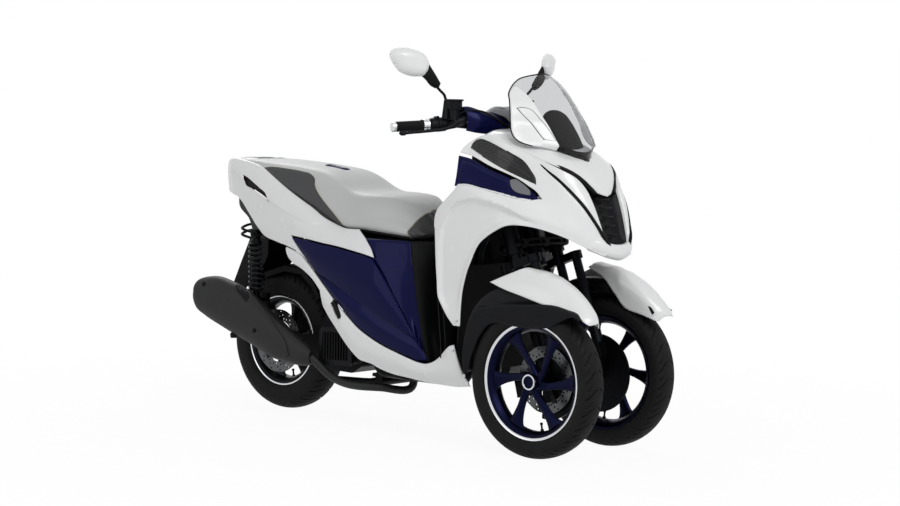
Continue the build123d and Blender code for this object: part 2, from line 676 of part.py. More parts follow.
# x and the outline from the left edge over the top: side, shoulder, centre
NOSE = [
    (470, 181, 1036, 170, 1044, 1046),
    (520, 180, 1022, 166, 1036, 1042),
    (583, 174, 993, 158, 1012, 1024),
    (642, 163, 970, 138, 994, 1004),
    (700, 150, 946, 116, 968, 974),
    (738, 126, 926, 88, 946, 951),
    (775, 96, 898, 60, 906, 908),
    (800, 58, 868, 36, 874, 876),
    (815, 26, 848, 14, 851, 852),
]
nose_stations = [
    (x, [(side, z_side), (shoulder, z_shoulder), (0, z_centre), (-shoulder, z_shoulder), (-side, z_side)])
    for x, side, z_side, shoulder, z_shoulder, z_centre in NOSE
]
# z, slit edge x and half width, mouth edge x and half width
CHIN_STRIP = [
    (944, 662, 163, 706, 150), (921, 695, 157, 752, 121), (886, 740, 149, 785, 84), (816, 801, 121, 823, 78),
    (755, 836, 97, 843, 71), (704, 862, 74, 858, 62), (690, 866, 68, 864, 50),
]
strip_wires = []
for z, x_slit, w_slit, x_mouth, w_mouth in CHIN_STRIP:
    loop = [(x_slit, -w_slit), (x_mouth, -w_mouth), (x_mouth - 7, -w_mouth + 4), (x_slit - 7, -w_slit + 5)]
    strip_wires.append(Wire.make_polygon([Vector(x, y, z) for x, y in loop], close=True))
strip = Solid.make_loft(strip_wires, ruled=True)
chin_wires = []
for z, tip, corner_x, corner_w, side_x, side_w in (
    (692, 871, 866, 68, 840, 92), (670, 880, 868, 64, 836, 98), (650, 883, 866, 60, 830, 92),
):
    loop = [(side_x, -side_w), (corner_x, -corner_w), (tip, -26), (tip, 26), (corner_x, corner_w), (side_x, side_w)]
    back = [(side_x - 4, side_w - 8), (corner_x - 8, corner_w - 6), (tip - 7, 22), (tip - 7, -22),
            (corner_x - 8, -corner_w + 6), (side_x - 4, -side_w + 8)]
    chin_wires.append(Wire.make_polygon([Vector(x, y, z) for x, y in loop + back], close=True))
chin_low = Solid.make_loft(chin_wires, ruled=True)
side_cut = one([cowl, mirrored(cowl)])
chin = one([strip, mirrored(strip), chin_low])
nose_cover = band(nose_stations, 3.0)
write("nose_cover", nose_cover)
write("nose_chin", largest(chin - side_cut - nose_cover))

# mouth panel: its edges lie just behind the strips, its middle is set back and carries the bars
MOUTH_DEPTH = 20.0
grille_wires = []
for z, x_slit, w_slit, x_mouth, w_mouth in CHIN_STRIP[2:6]:
    x_edge = x_mouth - 7 + 0.15 * (x_slit - x_mouth) - 0.4
    w_edge = w_mouth - 4 + 0.15 * (w_slit - w_mouth)
    x_mid, w_mid = x_mouth - MOUTH_DEPTH, 0.72 * w_edge
    loop = [(x_edge, -w_edge), (x_mid, -w_mid), (x_mid, w_mid), (x_edge, w_edge), (x_edge - 4, w_edge),
            (x_mid - 4, w_mid), (x_mid - 4, -w_mid), (x_edge - 4, -w_edge)]
    grille_wires.append(Wire.make_polygon([Vector(a, b, z) for a, b in loop], close=True))
grille = Solid.make_loft(grille_wires, ruled=True)
# z and x of each bar across the mouth
GRILLE_BARS = [(720, 836), (748, 828), (776, 819), (804, 809), (832, 796), (860, 782)]
grille_bars = [rod((x, -42, z), (x, 42, z), 4.5) for z, x in GRILLE_BARS]
write("nose_grille", one([grille] + grille_bars))

# z, centre x, quarter x and half width, edge x and half width
SCREEN = [
    (956, 736, 734, 6, 731, 12),
    (974, 727, 723, 28, 708, 52),
    (992, 718, 710, 58, 664, 112),
    (1004, 711, 698, 84, 604, 178),
    (1030, 696, 680, 88, 574, 186),
    (1100, 652, 636, 82, 548, 172),
    (1172, 601, 590, 68, 516, 144),
    (1212, 566, 556, 50, 512, 96),
    (1229, 548, 543, 28, 530, 50),
]
screen_wires = []
SCREEN_T = 3.0
for z, x_c, x_q, w_q, x_e, w_e in SCREEN:
    front = [(x_e, -w_e), (x_q, -w_q), (x_c, 0), (x_q, w_q), (x_e, w_e)]
    back = [(x_e - 2, w_e - 3), (x_q - 3.4, w_q - 1), (x_c - 4, 0), (x_q - 3.4, -w_q + 1), (x_e - 2, -w_e + 3)]
    screen_wires.append(Wire.make_polygon([Vector(a, b, z) for a, b in front + back], close=True))
screen = largest(Solid.make_loft(screen_wires, ruled=True) - nose_cover)
WING = [(-230, 940), (-100, 975), (-104, 1060), (-118, 1130), (-132, 1178), (-230, 1205)]


def wing_prism(gap):
    face = polygon([(400, y - gap * (y > -200), z) for y, z in WING])
    return Solid.extrude(face, Vector(400, 0, 0))


wing = screen & wing_prism(SEAM)
glass = screen - wing_prism(0) - mirrored(wing_prism(0))
write("windscreen", glass)
write("screen_wings", wing, mirrored(wing))
# dark inner panel a hand's breadth high, close behind the foot of the screen
DASH_GAP = 9.0
# z, centre x of the screen, half width, how far the edges lie behind the centre
DASH = [(986, 721, 40, 16), (1004, 711, 78, 27), (1030, 696, 92, 26), (1052, 682, 70, 16), (1066, 673, 34, 6)]
dash_wires = []
for z, x_c, w, sweep_back in DASH:
    x = x_c - DASH_GAP
    loop = [(x - sweep_back, -w), (x - 0.3 * sweep_back, -0.5 * w), (x, 0), (x - 0.3 * sweep_back, 0.5 * w),
            (x - sweep_back, w)]
    loop += [(a - 4, b) for a, b in reversed(loop)]
    dash_wires.append(Wire.make_polygon([Vector(a, b, z) for a, b in loop], close=True))
dash_foot = side_plate([(700, 985), (712, 985), (696, 1004), (640, 1015), (640, 1011), (686, 1000)], -40, 40)
dash = one([Solid.make_loft(dash_wires, ruled=True), dash_foot]) - nose_cover - screen
write("dash_panel", largest(dash))

SHIELD = [(318, 290), (316, 340), (300, 486), (293, 650), (287, 742), (300, 772), (356, 824), (384, 856), (392, 960)]
shield_loop = SHIELD + [(x + WALL, z) for x, z in reversed(SHIELD)]
leg_shield = side_plate(shield_loop, -229.5, 229.5) - side_cut
upper = block(200, 500, -228, -176, 840, 990)
lower_cut = block(200, 500, -228, -206, 280, 486)
leg_shield = leg_shield - upper - mirrored(upper) - lower_cut - mirrored(lower_cut)
write("leg_shield", largest(leg_shield))
liner = side_plate([(360, 240), (364, 240), (372, 450), (392, 600), (388, 600), (368, 450)], -200, 200)
write("well_liner", liner)

# --- Side bodywork ----------------------------------------------------------------------------

SKIRT = [
    (-450, [(180, 598), (181, 580), (178, 556)]),
    (-374, [(196, 586), (196, 562), (194, 540)]),
    (-300, [(203, 530), (203, 512), (201, 494)]),
    (-262, [(206, 500), (206, 486), (204, 470)]),
    (-254, [(207, 493), (208, 450), (200, 414)]),
    (-180, [(212, 431), (213, 390), (204, 340)]),
    (-125, [(215, 388), (216, 340), (204, 280)]),
    (-72, [(217, 353), (218, 310), (204, 243)]),
    (9, [(219, 317), (220, 285), (204, 230)]),
    (94, [(220, 292), (221, 265), (203, 209)]),
    (157, [(220, 276), (221, 250), (202, 204)]),
    (233, [(219, 265), (220, 240), (201, 199)]),
    (270, [(219, 271), (220, 240), (201, 197)]),
    (300, [(218, 292), (220, 250), (201, 197)]),
    (335, [(217, 326), (219, 260), (201, 197)]),
    (362, [(217, 336), (218, 260), (202, 197)]),
    (370, [(217, 313), (218, 255), (203, 197)]),
    (400, [(215, 252), (216, 230), (206, 199)]),
    (428, [(213, 212), (213, 209), (210, 206)]),
]
skirt = band(side_rails(SKIRT), WALL)
write("skirt_right", skirt)
write("skirt_left", mirrored(skirt))

COVER_LOW = [
    (-416, [(192, 643), (192, 642), (192, 641)]),
    (-350, [(199, 637), (201, 612), (199, 586)]),
    (-292, [(204, 633), (206, 590), (203, 534)]),
    (-182, [(209, 621), (213, 560), (212, 489)]),
    (-108, [(211, 613), (217, 540), (215, 459)]),
    (-55, [(212, 604), (219, 520), (217, 437)]),
    (-11, [(213, 596), (220, 510), (218, 419)]),
    (60, [(215, 512), (219, 450), (217, 389)]),
    (131, [(213, 417), (215, 390), (214, 363)]),
    (178, [(211, 349), (211, 347), (211, 345)]),
]
cover_low = band(side_rails(COVER_LOW), WALL)
write("side_covers", cover_low, mirrored(cover_low))

SILL = [
    (-286, [(200, 529), (200, 527), (200, 525)]),
    (-182, [(207, 486), (212, 460), (208, 433)]),
    (-72, [(211, 441), (216, 400), (213, 355)]),
    (9, [(212, 408), (217, 365), (215, 319)]),
    (94, [(211, 371), (216, 335), (215, 294)]),
    (157, [(209, 349), (214, 315), (215, 278)]),
    (200, [(208, 330), (211, 300), (214, 271)]),
    (233, [(206, 300), (209, 285), (214, 267)]),
]
sill = band(side_rails(SILL), 3.0) - cover_low - skirt
write("side_sills", sill, mirrored(sill))

TAIL = [
    (-880, [(70, 900), (82, 850), (70, 785)]),
    (-793, [(116, 894), (127, 850), (116, 776)]),
    (-768, [(119, 892), (130, 848), (118, 768)]),
    (-708, [(126, 886), (142, 820), (128, 716)]),
    (-636, [(135, 874), (156, 790), (143, 660)]),
    (-605, [(139, 858), (162, 780), (148, 636)]),
    (-528, [(148, 821), (174, 740), (166, 600)]),
    (-450, [(156, 785), (185, 705), (180, 601)]),
    (-376, [(161, 752), (198, 670), (196, 590)]),
    (-300, [(166, 718), (205, 640), (202, 536)]),
    (-288, [(167, 713), (206, 650), (204, 535)]),
    (-187, [(169, 684), (200, 650), (209, 600)]),
    (-135, [(172, 682), (200, 650), (212, 596)]),
    (-32, [(188, 650), (202, 630), (213, 590)]),
    (-10, [(207, 602), (209, 600), (211, 590)]),
]
COVER_TOP_EDGE = [(-424, 646), (-264, 633), (-108, 616), (-8, 599), (-8, 480), (-292, 480), (-292, 533)]
GRAB_SLOT = [(-868, 862), (-740, 822), (-668, 772), (-650, 748), (-740, 796), (-846, 845)]
tail = band(side_rails(TAIL), WALL) - cutter(COVER_TOP_EDGE) - cutter(GRAB_SLOT)
write("tail_right", tail)
write("tail_left", mirrored(tail))

SEAT_BOX = [
    # z, then half outline corners from the side seam to the front centre
    (FLOOR_Z - 3 + SEAT_GAP, (196, 200), (211, 176), (219, 108), (222, 0)),
    (347, (165, 200), (188, 176), (200, 108), (205, 0)),
    (475, (76, 206), (160, 176), (194, 100), (198, 0)),
    (594, (-4, 196), (130, 166), (184, 95), (192, 0)),
    (660, (-44, 180), (110, 154), (178, 92), (188, 0)),
]
box_wires = []
for z, *corners in SEAT_BOX:
    right = [(x, -w) for x, w in corners]
    outer = right + [(x, -y) for x, y in reversed(right[:-1])]
    loop = outer + list(reversed(inset(outer, WALL)))
    box_wires.append(Wire.make_polygon([Vector(a, b, z) for a, b in loop], close=True))
seat_box = Solid.make_loft(box_wires, ruled=True)
write("seat_box", seat_box - cover_low - mirrored(cover_low) - tail - mirrored(tail))

# the floor steps down by FLOOR_STEP under the seat box
FLOOR_STEP = 3.0
FLOOR_STEP_X = 226.0
floor = side_plate([
    (150, FLOOR_Z - FLOOR_T), (300, FLOOR_Z - FLOOR_T), (315, 286), (310, 289), (296, FLOOR_Z),
    (FLOOR_STEP_X, FLOOR_Z), (FLOOR_STEP_X, FLOOR_Z - FLOOR_STEP), (150, FLOOR_Z - FLOOR_STEP),
], -213.8, 213.8)
write("floorboard", floor)

TAIL_TOP = [
    (-885, 67.5, 884, 48, 900, 904),
    (-850, 83.5, 886, 60, 904, 909),
    (-800, 106, 888, 84, 905, 910),
]
tail_top = band([
    (x, [(side, low), (shoulder, high), (0, middle), (-shoulder, high), (-side, low)])
    for x, side, low, shoulder, high, middle in TAIL_TOP
], 3.0) - tail - mirrored(tail)
write("tail_top", tail_top)
lamp_wires = []
for x, w, low, high in ((-905, 40, 800, 884), (-884, 62, 786, 894), (-872, 64, 784, 896)):
    loop = [(-w, low), (w, low), (w, high), (-w, high)]
    lamp_wires.append(Wire.make_polygon([Vector(x, a, b) for a, b in loop], close=True))
write("tail_lamp", Solid.make_loft(lamp_wires, ruled=True) - tail_top - tail - mirrored(tail))

# --- Seat and the tub below it ----------------------------------------------------------------

SEAT = [
    # x, bottom z, bottom half width, top z, top half width
    (-790, 898, 106, 906, 92), (-738, 895, 115, 908, 100), (-640, 879, 130, 906, 112),
    (-528, 826, 143, 901, 118), (-419, 781, 152, 893, 124), (-340, 748, 157, 884, 128),
    (-265, 712, 161, 858, 132), (-187, 691, 163, 822, 138), (-100, 688, 162, 815, 140),
    (0, 681, 157, 806, 135), (60, 676, 150, 778, 116), (98, 672, 138, 738, 96), (116, 671, 118, 704, 76),
]
seat_wires = []
base_wires = []
for x, low, w_low, high, w_high in SEAT:
    right = [(-w_low + 4, low), (-w_low, low + 0.2 * (high - low)), (-w_high - 6, low + 0.8 * (high - low)),
             (-w_high + 24, high - 2), (0, high)]
    loop = right + [(-y, z) for y, z in reversed(right[:-1])]
    seat_wires.append(Wire.make_polygon([Vector(x, a, b) for a, b in loop], close=True))
    if x <= 98:
        w = w_low - 14
        loop = [(-w, low - 8), (w, low - 8), (w, low), (-w, low)]
        base_wires.append(Wire.make_polygon([Vector(x, a, b) for a, b in loop], close=True))
cushion = Solid.make_loft(seat_wires, ruled=True)
seat_base = Solid.make_loft(base_wires, ruled=True) - cushion
HINGE_X, HINGE_Z = 90.0, 652.0
HINGE_PIN_R = 5.0
seat_ears = [
    block(HINGE_X - 12, HINGE_X + 12, y - 8, y + 8, HINGE_Z - 12, 666) for y in (-60.0, 60.0)
]
seat_base = one([seat_base] + seat_ears) - rod((HINGE_X, -80, HINGE_Z), (HINGE_X, 80, HINGE_Z), HINGE_PIN_R + RUN_GAP)
write("seat_cushion", cushion)
write("seat_base", seat_base)

TUB_T = 3.0
TUB = [(-398, 500), (100, 470), (104, 630), (60, 660), (-187, 668), (-398, 752)]
tub = side_plate(TUB, -118, 118, 0)
hollow = side_plate([(-395, 503), (97, 473), (101, 628), (101, 900), (-395, 900)], -115, 115, 0)
ear_room = block(HINGE_X - 24, HINGE_X + 40, -76, 76, HINGE_Z - 22, 700)
tub = tub - hollow - ear_room
pin = rod((HINGE_X, -76, HINGE_Z), (HINGE_X, 76, HINGE_Z), HINGE_PIN_R)
pin_posts = [
    block(HINGE_X - 8, HINGE_X + 8, y - 6, y + 6, HINGE_Z - 40, HINGE_Z + 8) for y in (-80.0, 80.0)
]
shelf = block(HINGE_X - 8, 104, -86, 86, HINGE_Z - 44, HINGE_Z - 40)
write("storage_tub", one([tub, shelf, pin] + pin_posts))

# --- Engine, transmission, exhaust and rear suspension --------------------------------------------

crankcase = side_plate(
    [(-350, 215), (-310, 180), (-195, 178), (-150, 205), (-150, 335), (-200, 385), (-320, 385), (-350, 330)],
    -108, 60, 14)
cylinder = block(-160, 20, -62, 58, 222, 330)
head = block(20, 62, -70, 66, 214, 338)
AX, AZ = REAR_AXLE_X, REAR_TYRE_R
swing_arm = side_plate([
    (-345, 230), (-345, 300), (AX + 52, AZ + 34), (AX - 13, AZ + 54), (AX - 24, AZ + 174), (AX - 52, AZ + 174),
    (AX - 43, AZ - 11), (AX - 8, AZ - 29),
], -96, -82)
axle = rod((AX, 70, AZ), (AX, -96, AZ), AXLE_R)
case = side_plate([
    (-175, 235), (-210, 187), (-280, 182), (AX - 8, AZ - 71), (AX - 68, AZ - 26), (AX - 68, AZ + 24),
    (AX - 18, AZ + 74), (AX + 52, AZ + 79), (-280, 368), (-215, 362), (-175, 320),
], 62, 142, 14)
left_ear = side_plate([(AX - 8, AZ + 49), (AX - 22, AZ + 174), (AX - 52, AZ + 174), (AX - 56, AZ + 49)], 82, 96)
link = block(-160, -48, -50, 50, RAIL_Z + 11.3, 226)
write("engine", one([crankcase, cylinder, head, swing_arm, link])
      - rod((AX, -100, AZ), (AX, -70, AZ), AXLE_R + RUN_GAP))
write("transmission", one([case, axle, left_ear]))

rad = side_plate([(-290, 215), (-290, 330), (-150, 340), (-140, 215)], -170, -108 - SEAT_GAP, 16)
slots = [block(-272 + n * 16, -263 + n * 16, -171, -158, 232, 318) for n in range(8)]
write("radiator_cover", rad - one(slots))

SHOCK_Y = 140.0
SHOCK_LOW = (AX - 36, -SHOCK_Y, AZ + 150)
SHOCK_TOP = (-653, -SHOCK_Y, 640)
COILS = 8


def shock(low, top):
    axis = (Vector(*top) - Vector(*low)).normalized()
    length = (Vector(*top) - Vector(*low)).length
    profile = [(0, 14), (16, 14), (16, 40), (25, 44)]
    pitch = (length - 84) / COILS
    for n in range(COILS):
        z = 44 + n * pitch
        profile += [(27, z + 0.2 * pitch), (27, z + 0.5 * pitch), (21, z + 0.7 * pitch), (21, z + pitch)]
    profile += [(25, length - 38), (18, length - 30), (18, length - 14), (0, length - 14)]
    body = turned(profile, low, tuple(axis))
    eyes = [rod((p[0], p[1] - 13, p[2]), (p[0], p[1] + 13, p[2]), 16) for p in (low, top)]
    bolts = rod((low[0], low[1] - 16, low[2]), (low[0], low[1] + 44, low[2]), 6)
    top_bolt = rod((top[0], top[1] - 16, top[2]), (top[0], top[1] + 38, top[2]), 6)
    return one([body] + eyes + [bolts, top_bolt])


right_shock = shock(SHOCK_LOW, SHOCK_TOP)
write("rear_shocks", right_shock, mirrored(right_shock))

MUFFLER_Y = -203.0
MUFFLER = [
    # x, low z, high z, half width
    (-896, 400, 440, 16), (-868, 352, 462, 30), (-785, 316, 478, 35), (-700, 286, 460, 36),
    (-619, 259, 436, 36), (-545, 233, 396, 36), (-471, 207, 348, 34), (-400, 200, 312, 30),
    (-351, 197, 286, 25), (-300, 203, 262, 18),
]
muffler_wires = []
for x, low, high, w in MUFFLER:
    cut_z, cut_y = 0.3 * (high - low), 0.45 * w
    loop = [(-w, low + cut_z), (-w, high - cut_z), (-w + cut_y, high), (w - cut_y, high), (w, high - cut_z),
            (w, low + cut_z), (w - cut_y, low), (-w + cut_y, low)]
    muffler_wires.append(Wire.make_polygon([Vector(x, MUFFLER_Y + a, b) for a, b in loop], close=True))
muffler = Solid.make_loft(muffler_wires, ruled=True)
write("muffler", muffler)
PIPE = [(40, -40, 216), (44, -60, 150), (-10, -160, 152), (-230, -178, 170), (-299.5, MUFFLER_Y, 230)]
write("exhaust_pipe", tube(PIPE, 14, 24) - muffler - head)

# angle round the rear wheel and how far beyond the tyre
HUGGER = [(108, 11), (84, 31), (66, 47), (52, 39), (40, 25)]
HUGGER_SECTION = [(60, 26), (60, 6), (46, 0), (-46, 0), (-60, 6), (-60, 26)]
hugger = fan(REAR_CENTRE, [
    (angle, [(y, REAR_TYRE_R + over - drop) for y, drop in HUGGER_SECTION])
    for angle, over in HUGGER
], 3.0)
HUGGER_STAY = (AX + 152.5, AX + 177.5)
stay = [block(*HUGGER_STAY, 60, 68, 347.3, AZ + 219), block(*HUGGER_STAY, 58, 68, AZ + 204, AZ + 219)]
write("rear_hugger", one([hugger] + stay))


def round_wheel(angle, over):
    """XZ point at an angle round the rear wheel, this far beyond the tyre."""
    reach = REAR_TYRE_R + over
    return (AX + reach * cos(radians(angle)), AZ + reach * sin(radians(angle)))


GUARD_TOP_Z = 700
plate_carrier = side_plate([
    (-722, GUARD_TOP_Z), (-752, 622), round_wheel(147, 56), round_wheel(146.2, 42), round_wheel(105.8, 70),
    (-660, GUARD_TOP_Z),
], -72, 72) - side_plate([
    (-719, GUARD_TOP_Z + 3), (-748, 622), round_wheel(144.2, 51), round_wheel(106, 76), (-664, GUARD_TOP_Z + 3),
], -69, 69)
write("rear_mudguard", plate_carrier)

# --- Centre stand -----------------------------------------------------------------------------

stand_leg = tube([(STAND_X, -84, STAND_Z), (STAND_X - 90, -88, 152), (STAND_X - 190, -104, 150)], 11, 60)
stand_parts = [
    stand_leg, mirrored(stand_leg), rod((STAND_X, -95, STAND_Z), (STAND_X, 95, STAND_Z), 14),
    rod((STAND_X - 70, -88, 153), (STAND_X - 70, 88, 153), 9),
    block(STAND_X - 206, STAND_X - 176, -120, -90, 141, 153),
    block(STAND_X - 206, STAND_X - 176, 90, 120, 141, 153),
]
stand = one(stand_parts) - rod((STAND_X, -120, STAND_Z), (STAND_X, 120, STAND_Z), STAND_PIN_R + RUN_GAP)
write("centre_stand", stand)
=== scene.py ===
from math import cos, pi, radians, sin

import bmesh
import bpy
import numpy as np
from mathutils import Matrix, Vector, geometry


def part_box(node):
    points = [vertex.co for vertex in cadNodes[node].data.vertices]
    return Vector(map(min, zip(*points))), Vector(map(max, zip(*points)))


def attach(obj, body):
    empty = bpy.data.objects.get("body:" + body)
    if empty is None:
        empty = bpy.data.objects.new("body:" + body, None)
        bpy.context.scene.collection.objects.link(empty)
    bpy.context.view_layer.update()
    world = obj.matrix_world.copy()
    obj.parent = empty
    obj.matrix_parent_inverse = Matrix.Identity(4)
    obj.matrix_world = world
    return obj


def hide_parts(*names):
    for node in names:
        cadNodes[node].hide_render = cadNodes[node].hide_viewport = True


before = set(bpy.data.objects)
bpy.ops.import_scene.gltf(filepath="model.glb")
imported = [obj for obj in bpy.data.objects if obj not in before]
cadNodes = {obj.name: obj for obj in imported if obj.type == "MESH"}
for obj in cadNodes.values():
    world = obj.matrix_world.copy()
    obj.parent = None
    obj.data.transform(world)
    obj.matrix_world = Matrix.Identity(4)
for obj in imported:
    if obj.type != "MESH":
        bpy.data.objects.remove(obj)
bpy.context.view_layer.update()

# Sizes below are millimetres on the scooter's own stations: x forward, y to the rider's left, z up.
# The front axle is station 697.5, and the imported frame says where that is.
frontAxleStation = 697.5
tyreLow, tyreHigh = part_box("tyre_front_right")
stationShift = (tyreLow[0] + tyreHigh[0]) / 2 - frontAxleStation / 1000


def spot(x, y, z):
    return Vector((x / 1000 + stationShift, y / 1000, z / 1000))

def unit(v):
    return np.clip(v, 0, 1)


def blend(u, a, b, h, leanA, leanB):
    # the cubic from a to b over a length h, with the given leans at its ends
    return ((2 * u**3 - 3 * u**2 + 1) * a + (u**3 - 2 * u**2 + u) * h * leanA
            + (3 * u**2 - 2 * u**3) * b + (u**3 - u**2) * h * leanB)


def glide(knots, values, asked):
    # cubic through the knots that never overshoots; straight on past both ends
    knots, values, asked = (np.asarray(v, float) for v in (knots, values, asked))
    step = np.diff(knots)
    slope = np.diff(values) / step
    lean = np.zeros_like(values)
    lean[0], lean[-1] = slope[0], slope[-1]
    if len(values) > 2:
        before, after = slope[:-1], slope[1:]
        alike = before * after > 0
        wide, narrow = 2 * step[1:] + step[:-1], step[1:] + 2 * step[:-1]
        lean[1:-1][alike] = ((wide + narrow)[alike]
                             / (wide[alike] / before[alike] + narrow[alike] / after[alike]))
    k = np.clip(np.searchsorted(knots, asked) - 1, 0, len(step) - 1)
    t = (asked - knots[k]) / step[k]
    curve = blend(unit(t), values[k], values[k + 1], step[k], lean[k], lean[k + 1])
    return curve + np.where(t < 0, t, np.where(t > 1, t - 1, 0)) * step[k] * np.where(t < 0,
                                                                                      lean[k], lean[k + 1])


def leansThrough(points, closed):
    # finite-difference tangents for a curve through points, spaced by chord length
    n = len(points)
    lean = np.zeros_like(points)
    for i in range(n):
        if not closed and i in (0, n - 1):
            a, b = (0, 1) if i == 0 else (n - 2, n - 1)
            lean[i] = (points[b] - points[a]) / max(np.linalg.norm(points[b] - points[a]), 1e-9)
            continue
        back, ahead = points[i - 1], points[(i + 1) % n]
        h0 = max(np.linalg.norm(points[i] - back), 1e-9)
        h1 = max(np.linalg.norm(ahead - points[i]), 1e-9)
        lean[i] = ((ahead - points[i]) / h1 * h0 + (points[i] - back) / h0 * h1) / (h0 + h1)
    return lean


def curveThrough(points, spacing=None, closed=False, count=None):
    # a smooth curve through given points, cut into steps of about one spacing, or count steps in all
    points = np.asarray(points, float)
    lean = leansThrough(points, closed)
    spans = len(points) if closed else len(points) - 1
    out = []
    for i in range(spans):
        a, b = points[i], points[(i + 1) % len(points)]
        h = np.linalg.norm(b - a)
        steps = 12 if count else max(1, int(round(h / spacing)))
        out += [blend(k / steps, a, b, h, lean[i], lean[(i + 1) % len(points)]) for k in range(steps)]
    if not closed:
        out.append(points[-1])
    out = np.array(out)
    if count:
        ring = np.vstack([out, out[:1]]) if closed else out
        along = np.concatenate([[0], np.cumsum(np.linalg.norm(np.diff(ring, axis=0), axis=1))])
        where = np.linspace(0, along[-1], count + 1)[:count if closed else None]
        out = np.stack([np.interp(where, along, ring[:, d]) for d in range(ring.shape[1])], axis=1)
    return out


def outlineThrough(points, spacing):
    # a closed outline; a point with a third value is a sharp corner
    corners = [i for i, p in enumerate(points) if len(p) > 2]
    flat = [np.array(p[:2], float) for p in points]
    if not corners:
        return curveThrough(flat, spacing, closed=True)
    out = []
    for c, start in enumerate(corners):
        end = corners[(c + 1) % len(corners)]
        count = (end - start) % len(points) or len(points)
        run = [flat[(start + k) % len(points)] for k in range(count + 1)]
        out.append(curveThrough(run, spacing)[:-1])
    return np.vstack(out)


def inside(outline, points):
    x, z = points[:, 0], points[:, 1]
    hit = np.zeros(len(points), bool)
    for (x0, z0), (x1, z1) in zip(outline, np.roll(outline, -1, axis=0)):
        crosses = (z0 > z) != (z1 > z)
        if z1 != z0:
            hit ^= crosses & (x < (x1 - x0) * (z - z0) / (z1 - z0) + x0)
    return hit


def edgeDistance(outline, points):
    best = np.full(len(points), 1e9)
    for a, b in zip(outline, np.roll(outline, -1, axis=0)):
        d = b - a
        length = max(d @ d, 1e-12)
        t = unit((points - a) @ d / length)
        best = np.minimum(best, np.linalg.norm(points - a - t[:, None] * d, axis=1))
    return best


def inward(outline, gap):
    # the outline's points moved gap to its inner side
    ahead, back = np.roll(outline, -1, axis=0), np.roll(outline, 1, axis=0)
    along = ahead - back
    along /= np.maximum(np.linalg.norm(along, axis=1), 1e-9)[:, None]
    area = 0.5 * np.sum(outline[:, 0] * ahead[:, 1] - ahead[:, 0] * outline[:, 1])
    side = np.stack([-along[:, 1], along[:, 0]], axis=1) * (1 if area > 0 else -1)
    return outline + side * gap


def grown(outline, gap):
    # the outline's points moved gap to its outer side, with its sharp corners kept
    moved = inward(np.array([p[:2] for p in outline], float), -gap)
    return [tuple(p) + (1,) * (len(q) > 2) for p, q in zip(moved, outline)]


def between(loops, points):
    # True for points inside the first loop and outside the others, which are its holes
    keep = inside(loops[0], points)
    for hole in loops[1:]:
        keep &= ~inside(hole, points)
    return keep


def triangles(flat, edges, loops):
    # the triangles that fill the first loop and leave the other loops open
    made = geometry.delaunay_2d_cdt([Vector(p) for p in flat], edges, [], 0, 1e-4)
    flat, faces = np.array([tuple(v) for v in made[0]]), np.array(made[2])
    return flat, [tuple(f) for f in faces[between(loops, flat[faces].mean(axis=1))]]


def loopEdges(base, loop):
    return [(base + i, base + (i + 1) % len(loop)) for i in range(len(loop))]


class SideForm:
    # half width over the side view, from ridge lines that run along the scooter: each is (x, half width, z)
    def __init__(self, *ridges):
        self.ridges = [np.array(r, float) for r in ridges]

    def halfWidth(self, points):
        heights, widths = [], []
        for ridge in self.ridges:
            heights.append(glide(ridge[:, 0], ridge[:, 2], points[:, 0]))
            widths.append(glide(ridge[:, 0], ridge[:, 1], points[:, 0]))
        heights, widths = np.array(heights).T, np.array(widths).T
        order = np.argsort(heights, axis=1)
        heights = np.take_along_axis(heights, order, 1)
        widths = np.take_along_axis(widths, order, 1)
        heights += np.arange(heights.shape[1]) * 1e-3
        return np.array([float(glide(h, w, z)) for h, w, z in zip(heights, widths, points[:, 1])])


def trimmedSheet(outline, holes, roll, spacing):
    # a flat sheet cut to an outline: its points, faces, and each point's distance from the nearest edge
    step = spacing * 0.6
    loops = [outlineThrough(outline, step)] + [outlineThrough(h, step) for h in holes]
    flat, edges = [], []
    for n, loop in enumerate(loops):
        edges += loopEdges(len(flat), loop)
        flat += list(loop)
        for share in (0.12, 0.38, 0.72, 1.0):
            moved = inward(loop, roll * share * (1 if n == 0 else -1))
            keep = edgeDistance(loop, moved) > roll * share * 0.9
            flat += list(moved[keep])
    low, high = loops[0].min(axis=0), loops[0].max(axis=0)
    rows = np.arange(low[1], high[1], spacing * 0.87)
    grid = np.array([(x + (spacing / 2 if k % 2 else 0), z) for k, z in enumerate(rows)
                     for x in np.arange(low[0], high[0], spacing)])
    clear = np.min([edgeDistance(loop, grid) for loop in loops], axis=0)
    flat += list(grid[between(loops, grid) & (clear > roll + spacing * 0.35)])
    flat, faces = triangles(flat, edges, loops)
    return flat, faces, np.min([edgeDistance(loop, flat) for loop in loops], axis=0)


def rolledBy(clear, roll, depth):
    near = unit(1 - clear / roll)
    return depth * (1 - np.sqrt(unit(1 - near**2)))


def sidePanel(form, outline, holes=(), roll=4.0, depth=None, spacing=9.0, tuck=0.0):
    # a trimmed patch of a side form on the right side, its edges rolled inwards; tuck sets it back, in mm
    flat, faces, clear = trimmedSheet(outline, holes, roll, spacing)
    width = form.halfWidth(flat) - rolledBy(clear, roll, roll if depth is None else depth)
    width = width - (tuck(flat, clear) if callable(tuck) else tuck)
    return [spot(x, -w, z) for (x, z), w in zip(flat, width)], faces


def frontPanel(form, outline, lift=0.0, holes=(), roll=3.0, depth=None, spacing=8.0):
    # a trimmed patch of a front form, its outline seen from the front as (y, z)
    flat, faces, clear = trimmedSheet(outline, holes, roll, spacing)
    x = form(flat) + lift - rolledBy(clear, roll, roll if depth is None else depth)
    return [spot(a, y, z) for a, (y, z) in zip(x, flat)], faces


